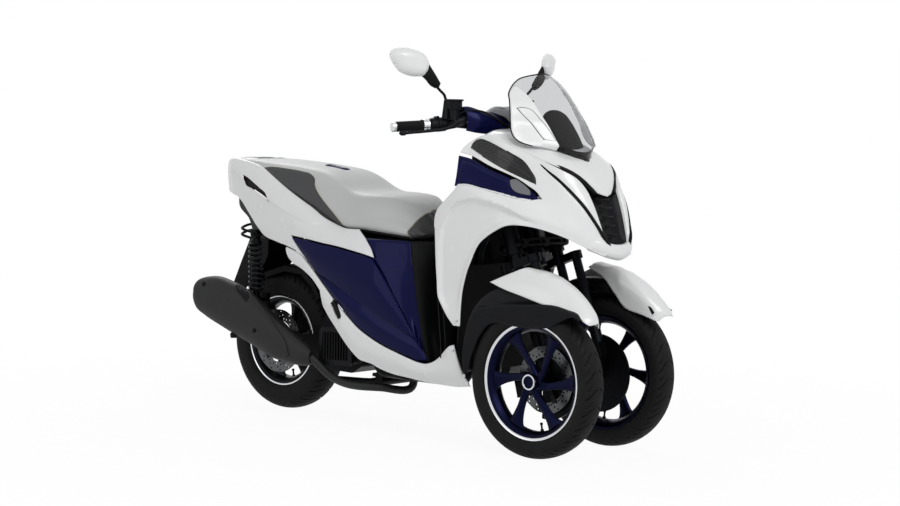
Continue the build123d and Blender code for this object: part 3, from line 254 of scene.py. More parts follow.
def gridSheet(rows, across, along, closed=False):
    # a smooth sheet through rows of points: across steps in each row, along steps from row to row
    fine = np.array([curveThrough(row, closed=closed, count=across) for row in rows])
    return np.stack([curveThrough(fine[:, k], count=along) for k in range(fine.shape[1])], axis=1)


def sheetMesh(sheet, closed=False, caps=False):
    n, m = sheet.shape[:2]
    points = [spot(*p) for p in sheet.reshape(-1, 3)]
    faces = []
    for i in range(n - 1):
        for j in range(m if closed else m - 1):
            a, b = i * m + j, i * m + (j + 1) % m
            faces.append((a, b, b + m, a + m))
    if caps:
        for ring, flip in ((0, True), (n - 1, False)):
            centre = len(points)
            points.append(spot(*sheet[ring].mean(axis=0)))
            for j in range(m):
                a, b = ring * m + j, ring * m + (j + 1) % m
                faces.append((b, a, centre) if flip else (a, b, centre))
    return points, faces


def skinMesh(rows, across, along):
    return sheetMesh(gridSheet(rows, across, along))


def bodyMesh(rows, across, along):
    return sheetMesh(gridSheet(rows, across, along, closed=True), closed=True, caps=True)


def newObject(name, data):
    obj = bpy.data.objects.new(name, data)
    bpy.context.scene.collection.objects.link(obj)
    return obj


def meshObject(name, meshes, material, mirrored=False, outward=None, sharp=38.0):
    # one object from (points, faces) sets; mirrored adds the left side, outward is where most faces look
    bm = bmesh.new()
    for points, faces in meshes:
        made = [bm.verts.new(p) for p in points]
        for face in faces:
            if len(set(face)) > 2:
                try:
                    bm.faces.new([made[i] for i in face])
                except ValueError:
                    pass
    bmesh.ops.remove_doubles(bm, verts=bm.verts, dist=1e-6)
    bmesh.ops.delete(bm, geom=[v for v in bm.verts if not v.link_faces], context="VERTS")
    bmesh.ops.recalc_face_normals(bm, faces=bm.faces)
    if outward and sum(f.normal.dot(Vector(outward)) * f.calc_area() for f in bm.faces) < 0:
        bmesh.ops.reverse_faces(bm, faces=bm.faces)
    if mirrored:
        copy = bmesh.ops.duplicate(bm, geom=bm.verts[:] + bm.edges[:] + bm.faces[:])["geom"]
        for v in [g for g in copy if isinstance(g, bmesh.types.BMVert)]:
            v.co.y = -v.co.y
        bmesh.ops.reverse_faces(bm, faces=[g for g in copy if isinstance(g, bmesh.types.BMFace)])
    for face in bm.faces:
        face.smooth = True
    for edge in bm.edges:
        edge.smooth = not (len(edge.link_faces) == 2 and edge.calc_face_angle(0) > radians(sharp))
    mesh = bpy.data.meshes.new(name)
    bm.to_mesh(mesh)
    bm.free()
    mesh.materials.append(material)
    return newObject(name, mesh)


def placed(obj, body, slot, *nodes):
    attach(obj, body)
    if nodes:
        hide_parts(*nodes)
    return obj


def piece(name, meshes, finish, body, slot, *nodes, wall=0.0, both=False, outward=None, sharp=38.0):
    # one object on its body; both adds the left side, and a wall in mm grows to the inner side of a sheet
    obj = meshObject(name, meshes, finishes[finish], both, outward, sharp)
    if wall:
        thick = obj.modifiers.new("wall", "SOLIDIFY")
        thick.thickness = wall / 1000
        thick.offset = -1
    return placed(obj, body, slot, *nodes)


def shade(hexColour):
    # sRGB hex to linear
    channels = [int(hexColour[i:i + 2], 16) / 255 for i in (1, 3, 5)]
    return tuple(c / 12.92 if c <= 0.04045 else ((c + 0.055) / 1.055) ** 2.4 for c in channels) + (1.0,)


def addNode(tree, kind, settings=None, **links):
    # settings name an input, its number or a property; links name an input, or in0 for the first
    node = tree.nodes.new(kind)
    for key, value in (settings or {}).items():
        if isinstance(key, int) or key in node.inputs:
            node.inputs[key].default_value = value
        else:
            setattr(node, key, value)
    for key, source in links.items():
        label = key.replace("_", " ")
        tree.links.new(source, node.inputs[label if label in node.inputs else int(key[2:])])
    return node


def startMaterial(name, values):
    material = bpy.data.materials.new(name)
    material.use_nodes = True
    tree = material.node_tree
    shader = tree.nodes["Principled BSDF"]
    for key, value in values.items():
        shader.inputs[key].default_value = value
    where = addNode(tree, "ShaderNodeTexCoord").outputs["Object"]
    return material, tree, shader, where


def colourSpread(tree, shader, where, first, second, size, detail=4.0):
    # slow drift between two near colours; size is the patch size in mm
    patch = addNode(tree, "ShaderNodeTexNoise", {"Scale": 1000 / size, "Detail": detail}, Vector=where)
    mix = addNode(tree, "ShaderNodeMix", {"data_type": "RGBA", 6: shade(first), 7: shade(second)},
                  in0=patch.outputs["Fac"])  # its colours are inputs 6 and 7 and output 2
    tree.links.new(mix.outputs[2], shader.inputs["Base Color"])


def roughSpread(tree, shader, where, low, high, size):
    patch = addNode(tree, "ShaderNodeTexNoise", {"Scale": 1000 / size, "Detail": 5.0}, Vector=where)
    span = addNode(tree, "ShaderNodeMapRange", {"To Min": low, "To Max": high}, Value=patch.outputs["Fac"])
    tree.links.new(span.outputs["Result"], shader.inputs["Roughness"])


def grain(tree, shader, where, size, depth, cells=False):
    # relief of the given grain size in mm: leathery cells, or plain noise
    kind, output = ("Voronoi", "Distance") if cells else ("Noise", "Fac")
    texture = addNode(tree, "ShaderNodeTex" + kind, {"Scale": 1000 / size}, Vector=where)
    bump = addNode(tree, "ShaderNodeBump", {"Strength": 1.0, "Distance": depth / 1000},
                   Height=texture.outputs[output])
    tree.links.new(bump.outputs["Normal"], shader.inputs["Normal"])


def surfaceOf(name, values, colours, patch, rough, roughPatch, grainSize, depth, cells=False, detail=4.0):
    # two near colours in patches of patch mm, roughness between two values, and a relief of fine grain
    material, tree, shader, where = startMaterial(name, values)
    colourSpread(tree, shader, where, *colours, patch, detail)
    roughSpread(tree, shader, where, *rough, roughPatch)
    grain(tree, shader, where, grainSize, depth, cells)
    return material


def lacquerWhite():
    # white acrylic lacquer on ABS: a hard gloss coat with the faint waviness of sprayed paint
    return surfaceOf("whiteLacquer", {"IOR": 1.5, "Specular IOR Level": 0.4, "Coat Weight": 0.3,
                                      "Coat Roughness": 0.06},
                     ("#E9EAEA", "#E4E5E6"), 180, (0.22, 0.3), 60, 9.0, 0.012)


def lacquerBlue():
    # dark blue metallic lacquer: aluminium flake under a clear coat, so it turns bright where it faces a lamp
    material, tree, shader, where = startMaterial("blueMetallicLacquer", {
        "Metallic": 0.3, "IOR": 1.5, "Specular IOR Level": 0.04, "Coat Weight": 0.08, "Coat Roughness": 0.04})
    flake = addNode(tree, "ShaderNodeTexVoronoi", {"Scale": 1000 / 1.2}, Vector=where)
    tone = addNode(tree, "ShaderNodeMapRange", {"From Max": 0.9}, Value=flake.outputs["Distance"])
    mix = addNode(tree, "ShaderNodeMix", {"data_type": "RGBA", 6: shade("#10134A"), 7: shade("#070926")},
                  in0=tone.outputs["Result"])
    tree.links.new(mix.outputs[2], shader.inputs["Base Color"])
    roughSpread(tree, shader, where, 0.26, 0.34, 40)
    return material


def mouldedBlack(name, dark, light, rough, size=1.1, depth=0.05):
    # moulded ABS or polypropylene with spark-eroded grain: dull, dark, grey where the light grazes it
    return surfaceOf(name, {"IOR": 1.49, "Specular IOR Level": 0.08}, (dark, light), 70,
                     (rough - 0.07, rough + 0.07), 25, size, depth, True)


def softRubber(name, dark, light):
    # vulcanised rubber: very dull, slightly dusty
    return surfaceOf(name, {"IOR": 1.52, "Specular IOR Level": 0.1}, (dark, light), 22, (0.55, 0.78), 18,
                     0.9, 0.04, detail=8.0)


def seatVinyl(name, dark, light):
    # calendered vinyl with a leather grain of about 2 mm cells, drawn at 2.4 mm so that it shows
    return surfaceOf(name, {"IOR": 1.5, "Sheen Weight": 0.08}, (dark, light), 90, (0.42, 0.54), 30,
                     2.4, 0.12, True)


def metal(name, first, second, low, high, size=14.0, depth=0.02, grainSize=0.8):
    # bare or coated metal; first and second are its colour where clean and where dulled
    return surfaceOf(name, {"Metallic": 1.0}, (first, second), size, (low, high), size, grainSize,
                     depth, detail=6.0)


def heatproofBlack():
    # matt heat-proof paint on pressed steel: sandy, with a broad soft sheen
    return surfaceOf("heatproofBlack", {"IOR": 1.5, "Specular IOR Level": 0.28}, ("#0B0C0D", "#121314"), 60,
                     (0.46, 0.6), 20, 0.8, 0.05)


def lensPlastic(name, first, second, rough=0.08):
    # tinted polycarbonate lens, dark because the lamp behind it is off
    material, tree, shader, where = startMaterial(name, {"IOR": 1.585, "Specular IOR Level": 0.15,
                                                         "Coat Weight": 0.25, "Coat Roughness": 0.03,
                                                         "Roughness": rough})
    colourSpread(tree, shader, where, first, second, 30)
    ribs = addNode(tree, "ShaderNodeTexWave", {"Scale": 55.0, "bands_direction": "Z"}, Vector=where)
    bump = addNode(tree, "ShaderNodeBump", {"Strength": 0.35, "Distance": 0.0006}, Height=ribs.outputs["Fac"])
    tree.links.new(bump.outputs["Normal"], shader.inputs["Normal"])
    return material


def smokedScreen():
    # smoked polycarbonate sheet, clear enough to see the dash through
    material, tree, shader, where = startMaterial("smokedPolycarbonate", {
        "IOR": 1.05, "Roughness": 0.03, "Transmission Weight": 1.0, "Coat Weight": 0.35,
        "Coat Roughness": 0.02})
    colourSpread(tree, shader, where, "#D2D3D5", "#C9CACC", 200)
    return material


finishes = {
    "white": lacquerWhite(),
    "blue": lacquerBlue(),
    "black": mouldedBlack("mouldedBlackAbs", "#0D0E0F", "#141516", 0.46),
    "grey": mouldedBlack("mouldedGreyAbs", "#6E7073", "#7A7C80", 0.4),
    "satinBlack": mouldedBlack("satinBlackAbs", "#101113", "#18191C", 0.34, 1.4, 0.03),
    "wheelBlue": metal("blueWheelCoat", "#12142C", "#0D0F22", 0.32, 0.44),
    "wheelBlack": metal("blackWheelCoat", "#1A1B1E", "#222327", 0.34, 0.46),
    "springPaint": mouldedBlack("springPaint", "#1A1B1D", "#242527", 0.3),
    "deepBlack": mouldedBlack("deepBlackAbs", "#040405", "#070708", 0.62),
    "darkGrey": mouldedBlack("mouldedDarkGreyAbs", "#3A3B3D", "#434446", 0.42),
    "framePaint": metal("blackFramePaint", "#0F1012", "#17181A", 0.4, 0.55),
    "darkAlloy": metal("darkCastAlloy", "#1C1D20", "#141517", 0.42, 0.58, 10, 0.05, 1.2),
    "polishedAlloy": metal("machinedAlloy", "#D9DADC", "#C6C8CB", 0.16, 0.26),
    "hardChrome": metal("hardChrome", "#C9CBCE", "#BFC1C5", 0.08, 0.16),
    "discSteel": metal("groundSteel", "#5E5F61", "#4E4F51", 0.24, 0.36, 8, 0.02, 0.6),
    "heatproof": heatproofBlack(),
    "tyreRubber": softRubber("tyreRubber", "#131314", "#1B1B1C"),
    "gripRubber": softRubber("gripRubber", "#111112", "#181819"),
    "smoke": smokedScreen(),
    "lampLens": lensPlastic("smokedLampLens", "#101113", "#1C1D20"),
    "redLens": lensPlastic("redLampLens", "#7E0C10", "#5E070B"),
    "seatGrey": seatVinyl("greySeatVinyl", "#C3C4C4", "#BBBCBC"),
    "seatWelt": seatVinyl("weltVinyl", "#B7B5A6", "#A9A798"),
    "seatCharcoal": seatVinyl("charcoalSeatVinyl", "#1E1F21", "#26272A"),
    "mirrorGlass": metal("mirrorGlass", "#E4E6E8", "#DEE0E2", 0.02, 0.04),
}

# every CAD node starts with the finish of its real part
nodeFinish = {
    "white": "cowl_left cowl_right nose_cover nose_chin skirt_left skirt_right tail_left tail_right tail_top "
             "mudguard_left mudguard_right mirrors screen_wings",
    "blue": "side_covers side_patches bar_cover side_sills",
    "black": "arch_left arch_right leg_shield well_liner floorboard rear_mudguard rear_hugger seat_base "
             "storage_tub nose_grille dash_panel controls mirror_stems radiator_cover seat_box",
    "grey": "meter",
    "wheelBlue": "wheel_front_left wheel_front_right",
    "wheelBlack": "wheel_rear",
    "framePaint": "frame centre_stand linkage_arms rear_shocks tie_rod",
    "darkAlloy": "engine transmission fork_left fork_right knuckles steering_column",
    "heatproof": "muffler exhaust_pipe",
    "tyreRubber": "tyre_front_left tyre_front_right tyre_rear",
    "gripRubber": "grips",
    "polishedAlloy": "bar_ends",
    "smoke": "windscreen",
    "lampLens": "side_lamps",
    "redLens": "tail_lamp",
    "seatGrey": "seat_cushion",
}
for finish, names in nodeFinish.items():
    for name in names.split():
        mesh = cadNodes[name].data
        mesh.materials.clear()
        mesh.materials.append(finishes[finish])
print("finishes ready:", len(finishes))


stageSizes = {"floorRadius": 60.0, "floorGlow": 0.94, "glowFull": 2.6, "skyStrength": 0.33,
              "keyPower": 190.0, "sidePower": 32.0, "backPower": 110.0}


def seenDirectly(tree):
    # 1 where the camera sees the surface itself, through glass or mirrored in paint
    rays = addNode(tree, "ShaderNodeLightPath")
    either = addNode(tree, "ShaderNodeMath", {"operation": "MAXIMUM"}, in0=rays.outputs["Is Camera Ray"],
                     in1=rays.outputs["Is Transmission Ray"])
    seen = addNode(tree, "ShaderNodeMath", {"operation": "MAXIMUM"}, in0=either.outputs[0],
                   in1=rays.outputs["Is Glossy Ray"])
    return seen.outputs[0]


def buildStage():
    bm = bmesh.new()
    bmesh.ops.create_circle(bm, cap_ends=True, segments=96, radius=stageSizes["floorRadius"])
    mesh = bpy.data.meshes.new("floor")
    bm.to_mesh(mesh)
    bm.free()
    floor = newObject("floor", mesh)
    material, tree, shader, where = startMaterial("paleFloor",
                                                  {"Base Color": shade("#F4F4F4"), "Roughness": 0.9})
    share = addNode(tree, "ShaderNodeMath", {"operation": "MULTIPLY"}, in0=seenDirectly(tree))
    # the glow is full away from the object, so that the floor runs into the backdrop without a line
    spread = addNode(tree, "ShaderNodeVectorMath", {"operation": "LENGTH"}, in0=where)
    rise = addNode(tree, "ShaderNodeMapRange", {"From Min": 0.9, "From Max": stageSizes["glowFull"],
                                                "To Min": stageSizes["floorGlow"], "To Max": 1.0},
                   Value=spread.outputs["Value"])
    tree.links.new(rise.outputs["Result"], share.inputs[1])
    glow = addNode(tree, "ShaderNodeEmission", {"Strength": 1.0})
    mix = addNode(tree, "ShaderNodeMixShader", in0=share.outputs[0], in1=shader.outputs[0],
                  in2=glow.outputs[0])
    tree.links.new(mix.outputs[0], tree.nodes["Material Output"].inputs["Surface"])
    mesh.materials.append(material)

    world = bpy.data.worlds.new("studio")
    bpy.context.scene.world = world
    world.use_nodes = True
    tree = world.node_tree
    soft = tree.nodes["Background"]
    soft.inputs["Color"].default_value = (1, 1, 1, 1)
    soft.inputs["Strength"].default_value = stageSizes["skyStrength"]
    plain = addNode(tree, "ShaderNodeBackground", {"Color": (1, 1, 1, 1), "Strength": 1.0})
    mix = addNode(tree, "ShaderNodeMixShader", in0=seenDirectly(tree), in1=soft.outputs[0],
                  in2=plain.outputs[0])
    tree.links.new(mix.outputs[0], tree.nodes["World Output"].inputs["Surface"])

    for name, place, aim, size, power in (
        ("keyLamp", (4.6, -2.2, 4.6), (0, 0, 0.6), 3.2, stageSizes["keyPower"]),
        ("sideLamp", (-1.8, -5.0, 1.9), (-0.4, 0, 0.6), 2.6, stageSizes["sidePower"]),
        ("backLamp", (-4.0, 2.0, 4.5), (0, 0, 0.7), 2.6, stageSizes["backPower"]),
    ):
        lamp = bpy.data.lights.new(name, "AREA")
        lamp.size = size
        lamp.energy = power
        obj = newObject(name, lamp)
        obj.location = place
        obj.rotation_euler = (Vector(aim) - Vector(place)).to_track_quat("-Z", "Y").to_euler()
    bpy.context.scene.view_settings.view_transform = "Standard"


# aim in mm on the stations, distance in metres, lens and sensor in mm
cameraSizes = {"aim": (153.25, 0, 617.81), "distance": 7.477, "lens": 87.45, "sensor": 36.0}


def buildCamera():
    # az 40.8 degrees from the nose, 4.4 degrees up, rolled 1.2 degrees
    right = Vector((0.75571883, 0.65456395, 0.02085867))
    up = Vector((-0.06545457, 0.04380226, 0.99689371))
    back = right.cross(up)
    turn = Matrix((right, up, back)).transposed().to_4x4()
    camera = newObject("camera", bpy.data.cameras.new("camera"))
    place = spot(*cameraSizes["aim"]) + back * cameraSizes["distance"]
    camera.matrix_world = Matrix.Translation(place) @ turn
    camera.data.lens = cameraSizes["lens"]
    camera.data.sensor_width = cameraSizes["sensor"]
    camera.data.sensor_fit = "HORIZONTAL"
    bpy.context.scene.camera = camera


buildStage()
buildCamera()
print("stage and camera ready")


def startTree(name, sockets):
    # a geometry node group with named inputs, and a dictionary of its sockets' identifiers
    tree = bpy.data.node_groups.new(name, "GeometryNodeTree")
    tree.interface.new_socket(name="Geometry", in_out="INPUT", socket_type="NodeSocketGeometry")
    names = {}
    for label, kind in dict(sockets, Material="Material").items():
        socket = tree.interface.new_socket(name=label, in_out="INPUT", socket_type="NodeSocket" + kind)
        names[label] = socket.identifier
    tree.interface.new_socket(name="Geometry", in_out="OUTPUT", socket_type="NodeSocketGeometry")
    return tree, names, tree.nodes.new("NodeGroupInput").outputs


def finishTree(tree, names, given, made):
    whole = addNode(tree, "GeometryNodeRealizeInstances", in0=made)
    coat = addNode(tree, "GeometryNodeSetMaterial", Geometry=whole.outputs[0], Material=given["Material"])
    addNode(tree, "NodeGroupOutput", in0=coat.outputs[0])
    return tree, names


def screwTree():
    # a flanged head with a hexagon socket on every point, turned to the point's "way"
    tree, names, given = startTree("screwHeads", {"Radius": "Float", "Height": "Float"})

    def part(vertices, radiusShare, heightShare, lift):
        wide, tall, raised = (
            addNode(tree, "ShaderNodeMath", {"operation": "MULTIPLY", 1: share}, in0=given[label]).outputs[0]
            for label, share in (("Radius", radiusShare), ("Height", heightShare), ("Height", lift)))
        shape = addNode(tree, "GeometryNodeMeshCylinder", {"Vertices": vertices}, Radius=wide, Depth=tall)
        offset = addNode(tree, "ShaderNodeCombineXYZ", Z=raised)
        return addNode(tree, "GeometryNodeTransform", Geometry=shape.outputs[0],
                       Translation=offset.outputs[0]).outputs[0]
    head = addNode(tree, "GeometryNodeMeshBoolean", {"operation": "DIFFERENCE"},
                   Mesh_1=part(20, 0.72, 1.0, 0.5), Mesh_2=part(6, 0.38, 1.0, 0.95))
    both = addNode(tree, "GeometryNodeJoinGeometry", in0=head.outputs["Mesh"])
    tree.links.new(part(24, 1.0, 0.35, 0.1), both.inputs[0])
    points = addNode(tree, "GeometryNodeMeshToPoints", in0=given["Geometry"])
    way = addNode(tree, "GeometryNodeInputNamedAttribute", {"data_type": "FLOAT_VECTOR", "Name": "way"})
    turn = addNode(tree, "FunctionNodeAlignRotationToVector", {"axis": "Z"}, Vector=way.outputs["Attribute"])
    spread = addNode(tree, "GeometryNodeInstanceOnPoints", Points=points.outputs[0], Instance=both.outputs[0],
                     Rotation=turn.outputs["Rotation"])
    return finishTree(tree, names, given, spread.outputs[0])


def threadTree():
    # short round threads along a line
    tree, names, given = startTree("threadRow", {"Pitch": "Float", "Length": "Float", "Radius": "Float"})
    curve = addNode(tree, "GeometryNodeMeshToCurve", in0=given["Geometry"])
    even = addNode(tree, "GeometryNodeResampleCurve", {"mode": "LENGTH"}, Curve=curve.outputs[0],
                   Length=given["Pitch"])
    thread = addNode(tree, "GeometryNodeMeshCylinder", {"Vertices": 6}, Radius=given["Radius"],
                     Depth=given["Length"])
    tangent = addNode(tree, "GeometryNodeInputTangent")
    turn = addNode(tree, "FunctionNodeAlignRotationToVector", {"axis": "Z"}, Vector=tangent.outputs[0])
    spread = addNode(tree, "GeometryNodeInstanceOnPoints", Points=even.outputs[0],
                     Instance=thread.outputs["Mesh"], Rotation=turn.outputs["Rotation"])
    return finishTree(tree, names, given, spread.outputs[0])


def coilTree():
    # a round wire wound along z, its foot at the origin
    tree, names, given = startTree("springCoil", {"Turns": "Float", "Radius": "Float", "Height": "Float",
                                                  "Wire": "Float"})
    coil = addNode(tree, "GeometryNodeCurveSpiral", {"Resolution": 28}, Rotations=given["Turns"],
                   Start_Radius=given["Radius"], End_Radius=given["Radius"], Height=given["Height"])
    ring = addNode(tree, "GeometryNodeCurvePrimitiveCircle", {"Resolution": 10}, Radius=given["Wire"])
    body = addNode(tree, "GeometryNodeCurveToMesh", {"Fill Caps": True}, Curve=coil.outputs[0],
                   Profile_Curve=ring.outputs[0])
    return finishTree(tree, names, given, body.outputs[0])


def slatTree():
    # equal bars in a row: each is a box of the given size, the next one moved by the step
    tree, names, given = startTree("slatRow", {"Count": "Int", "First": "Vector", "Step": "Vector",
                                               "Size": "Vector", "Turn": "Vector"})
    row = addNode(tree, "GeometryNodeMeshLine", Count=given["Count"], Start_Location=given["First"],
                  Offset=given["Step"])
    bar = addNode(tree, "GeometryNodeMeshCube", Size=given["Size"])
    turn = addNode(tree, "FunctionNodeEulerToRotation", in0=given["Turn"])
    spread = addNode(tree, "GeometryNodeInstanceOnPoints", Points=row.outputs[0],
                     Instance=bar.outputs["Mesh"], Rotation=turn.outputs["Rotation"])
    return finishTree(tree, names, given, spread.outputs[0])


builders = {"screws": screwTree(), "threads": threadTree(), "coil": coilTree(), "slats": slatTree()}


def madeByNodes(name, builder, values, material, points=(), edges=(), ways=None):
    # runs a builder on a set of points, and keeps its result as a plain mesh
    tree, names = builders[builder]
    mesh = bpy.data.meshes.new(name + ".start")
    mesh.from_pydata([spot(*p) for p in points], list(edges), [])
    if ways is not None:
        layer = mesh.attributes.new("way", "FLOAT_VECTOR", "POINT")
        for k, way in enumerate(ways):
            layer.data[k].vector = way
    start = newObject(name + ".start", mesh)
    run = start.modifiers.new("build", "NODES")
    run.node_group = tree
    for label, value in dict(values, Material=material).items():
        run[names[label]] = value
    bpy.context.view_layer.update()
    graph = bpy.context.evaluated_depsgraph_get()
    made = bpy.data.meshes.new_from_object(start.evaluated_get(graph), depsgraph=graph)
    made.name = name
    bpy.data.objects.remove(start)
    bpy.data.meshes.remove(mesh)
    return made


def joinedObject(name, meshes):
    # several baked meshes as one object; all share one material
    bm = bmesh.new()
    for mesh in meshes:
        bm.from_mesh(mesh)
    whole = bpy.data.meshes.new(name)
    bm.to_mesh(whole)
    bm.free()
    for material in meshes[0].materials:
        whole.materials.append(material)
    for mesh in meshes:
        bpy.data.meshes.remove(mesh)
    return newObject(name, whole)


def threadLine(name, line, sizes, material):
    sockets = {"Pitch": "stitchPitch", "Length": "stitchLength", "Radius": "stitchRadius"}
    return madeByNodes(name, "threads", {label: sizes[key] / 1000 for label, key in sockets.items()},
                       material, [tuple(p) for p in line], [(k, k + 1) for k in range(len(line) - 1)])


def screwPiece(name, places, radius, height, finish, body, slot, sides=(1, -1)):
    # places: (x, y, z, way); with both sides each one is repeated on the left
    points = [(x, y * flip, z) for x, y, z, way in places for flip in sides]
    ways = [(way[0], way[1] * flip, way[2]) for x, y, z, way in places for flip in sides]
    made = madeByNodes(name, "screws", {"Radius": radius / 1000, "Height": height / 1000}, finishes[finish],
                       points, (), ways)
    placed(newObject(name, made), body, slot)


def slatPiece(name, body, slot, finish, count, first, step, size, turn=0.0):
    # first in mm on the stations, step and size in mm, turn in degrees about the upright
    made = madeByNodes(name, "slats", {
        "Count": count, "First": spot(*first), "Step": [v / 1000 for v in step],
        "Size": [v / 1000 for v in size], "Turn": (0, 0, radians(turn))}, finishes[finish])
    placed(newObject(name, made), body, slot)


panelSizes = {"wall": 2.6, "edgeRoll": 4.0, "gap": 1.2}

# ridge lines of the front cowl side: x, half width, z
cowlForm = SideForm(
    [(285, 222, 860), (352, 222, 930), (380, 212, 985), (412, 194, 1014), (446, 185, 1031), (480, 182, 1031),
     (544, 181, 1009), (617, 171, 978), (640, 166, 968), (694, 158, 922), (739, 150, 887), (771, 136, 851),
     (800, 122, 817), (835, 98, 756), (858, 77, 713), (876, 60, 690)],
    [(285, 232, 822), (352, 231, 882), (400, 226, 920), (446, 221, 925), (500, 216, 912), (544, 211, 893),
     (617, 196, 862), (694, 178, 828), (739, 162, 806), (800, 128, 762), (835, 102, 722), (858, 78, 696),
     (876, 61, 682)],
    [(285, 236, 790), (320, 239, 806), (352, 241, 832), (398, 242, 858), (446, 241, 858), (500, 239, 850),
     (544, 236, 840), (617, 224, 817), (694, 195, 789), (739, 171, 770), (771, 154, 754), (800, 133, 734),
     (835, 105, 705), (858, 79, 685), (876, 61, 675)],
    [(285, 236, 730), (320, 240, 762), (352, 242, 789), (388, 243, 813), (437, 243, 825), (509, 242, 822),
     (560, 239, 810), (617, 232, 792), (694, 201, 766), (739, 175, 752), (771, 156, 738), (800, 134, 720),
     (835, 105, 694), (858, 78, 677), (876, 61, 667)],
    [(285, 232, 716), (320, 236, 746), (352, 238, 773), (388, 239, 797), (437, 239, 809), (509, 238, 805),
     (560, 235, 794), (617, 228, 777), (694, 198, 753), (739, 173, 740), (771, 154, 727), (800, 132, 710),
     (835, 103, 685), (858, 77, 670), (876, 60, 660)],
    [(285, 231, 560), (320, 234, 600), (378, 236, 650), (446, 238, 705), (544, 237, 745), (617, 228, 757),
     (694, 197, 744), (739, 172, 730), (800, 131, 699), (835, 102, 676), (876, 59, 652)],
    [(285, 232, 400), (403, 235, 395), (446, 237, 600), (544, 236, 700), (617, 228, 735), (694, 197, 728),
     (771, 153, 700), (835, 101, 665), (876, 58, 642)],
)
lampOutline = [(407, 987, 1), (412, 1003), (421, 1013), (438, 1018), (468, 1012), (502, 1000), (560, 975),
               (612, 948), (638, 920), (657, 893), (661, 880, 1), (600, 903), (538, 928), (470, 958)]
patchOutline = [(369, 962, 1), (420, 952), (500, 920), (560, 900), (605, 882), (640, 862), (662, 848),
                (677, 833, 1), (652, 824), (620, 828), (560, 841), (490, 853), (410, 864), (372, 862, 1)]
cowlOutline = [
    (374, 403, 1), (346, 430), (322, 462), (304, 490), (296, 545), (289, 610), (285, 670), (283, 730),
    (286, 760), (296, 781), (320, 805), (352, 833), (376, 856), (383, 870, 1),
    (410, 872), (490, 861), (560, 849), (620, 836), (652, 832), (688, 833, 1),
    (664, 857), (640, 871), (605, 891), (560, 909), (500, 930), (420, 961), (372, 972, 1),
    (386, 992), (404, 1010), (424, 1022), (446, 1030), (480, 1030), (510, 1022), (544, 1008), (583, 992),
    (617, 977), (640, 967), (668, 946), (694, 921), (739, 886), (771, 850), (800, 816), (820, 785),
    (838, 750), (858, 712), (870, 690), (876, 672, 1), (864, 655, 1),
    (835, 673), (800, 694), (771, 710), (730, 727), (694, 738), (655, 745), (617, 747), (580, 741),
    (544, 724), (510, 704), (480, 680), (460, 650), (446, 620), (431, 588), (420, 554), (411, 518),
    (407, 484), (404, 440), (403, 403, 1),
]
patchWindow = [(572, 890, 1), (590, 893), (612, 882), (634, 867), (648, 854), (650, 843, 1), (628, 846),
               (602, 853), (584, 866)]


# crease over the wheel opening, x and z; the flank below it lies a little deeper
cowlCrease = np.array([(296, 640), (312, 700), (332, 748), (358, 786), (388, 810), (446, 822), (500, 818),
                       (560, 806), (610, 790), (680, 757), (720, 740)], float)


def cowlDish(points, clear):
    below = np.interp(points[:, 0], cowlCrease[:, 0], cowlCrease[:, 1]) - points[:, 1]
    share = unit(below / 7 + 0.5) * unit((points[:, 0] - 300) / 18)
    share = share * share * (3 - 2 * share)
    fade = unit((715 - points[:, 0]) / 70) * unit((points[:, 1] - 430) / 90)
    return 8.0 * share * fade * unit((clear - 9) / 8)


def patchDish(points, clear):
    # the patch is a shallow dish with a raised lip
    return 5.0 * unit((clear - 5) / 6)


cowl = sidePanel(cowlForm, cowlOutline, [grown(lampOutline, panelSizes["gap"])], roll=panelSizes["edgeRoll"],
                 tuck=cowlDish, spacing=7.5)
piece("cowlSides", [cowl], "white", "chassis", "white", "cowl_right", "cowl_left",
      wall=panelSizes["wall"], both=True)
lamp = sidePanel(cowlForm, lampOutline, roll=3.0, depth=2.2, spacing=6, tuck=0.6)
piece("positionLamps", [lamp], "lampLens", "chassis", "lamp_glass", "side_lamps", wall=2.0, both=True)
patch = sidePanel(cowlForm, patchOutline, [grown(patchWindow, 0.5)], roll=3.0, depth=2.5, spacing=6,
                  tuck=patchDish)
piece("bluePatches", [patch], "blue", "chassis", "blue", "side_patches", wall=2.0, both=True)
pane = sidePanel(cowlForm, patchWindow, roll=1.2, spacing=6, tuck=3.0)
piece("patchPanes", [pane], "grey", "chassis", "grey", wall=2.0, both=True)
print("front cowl ready")

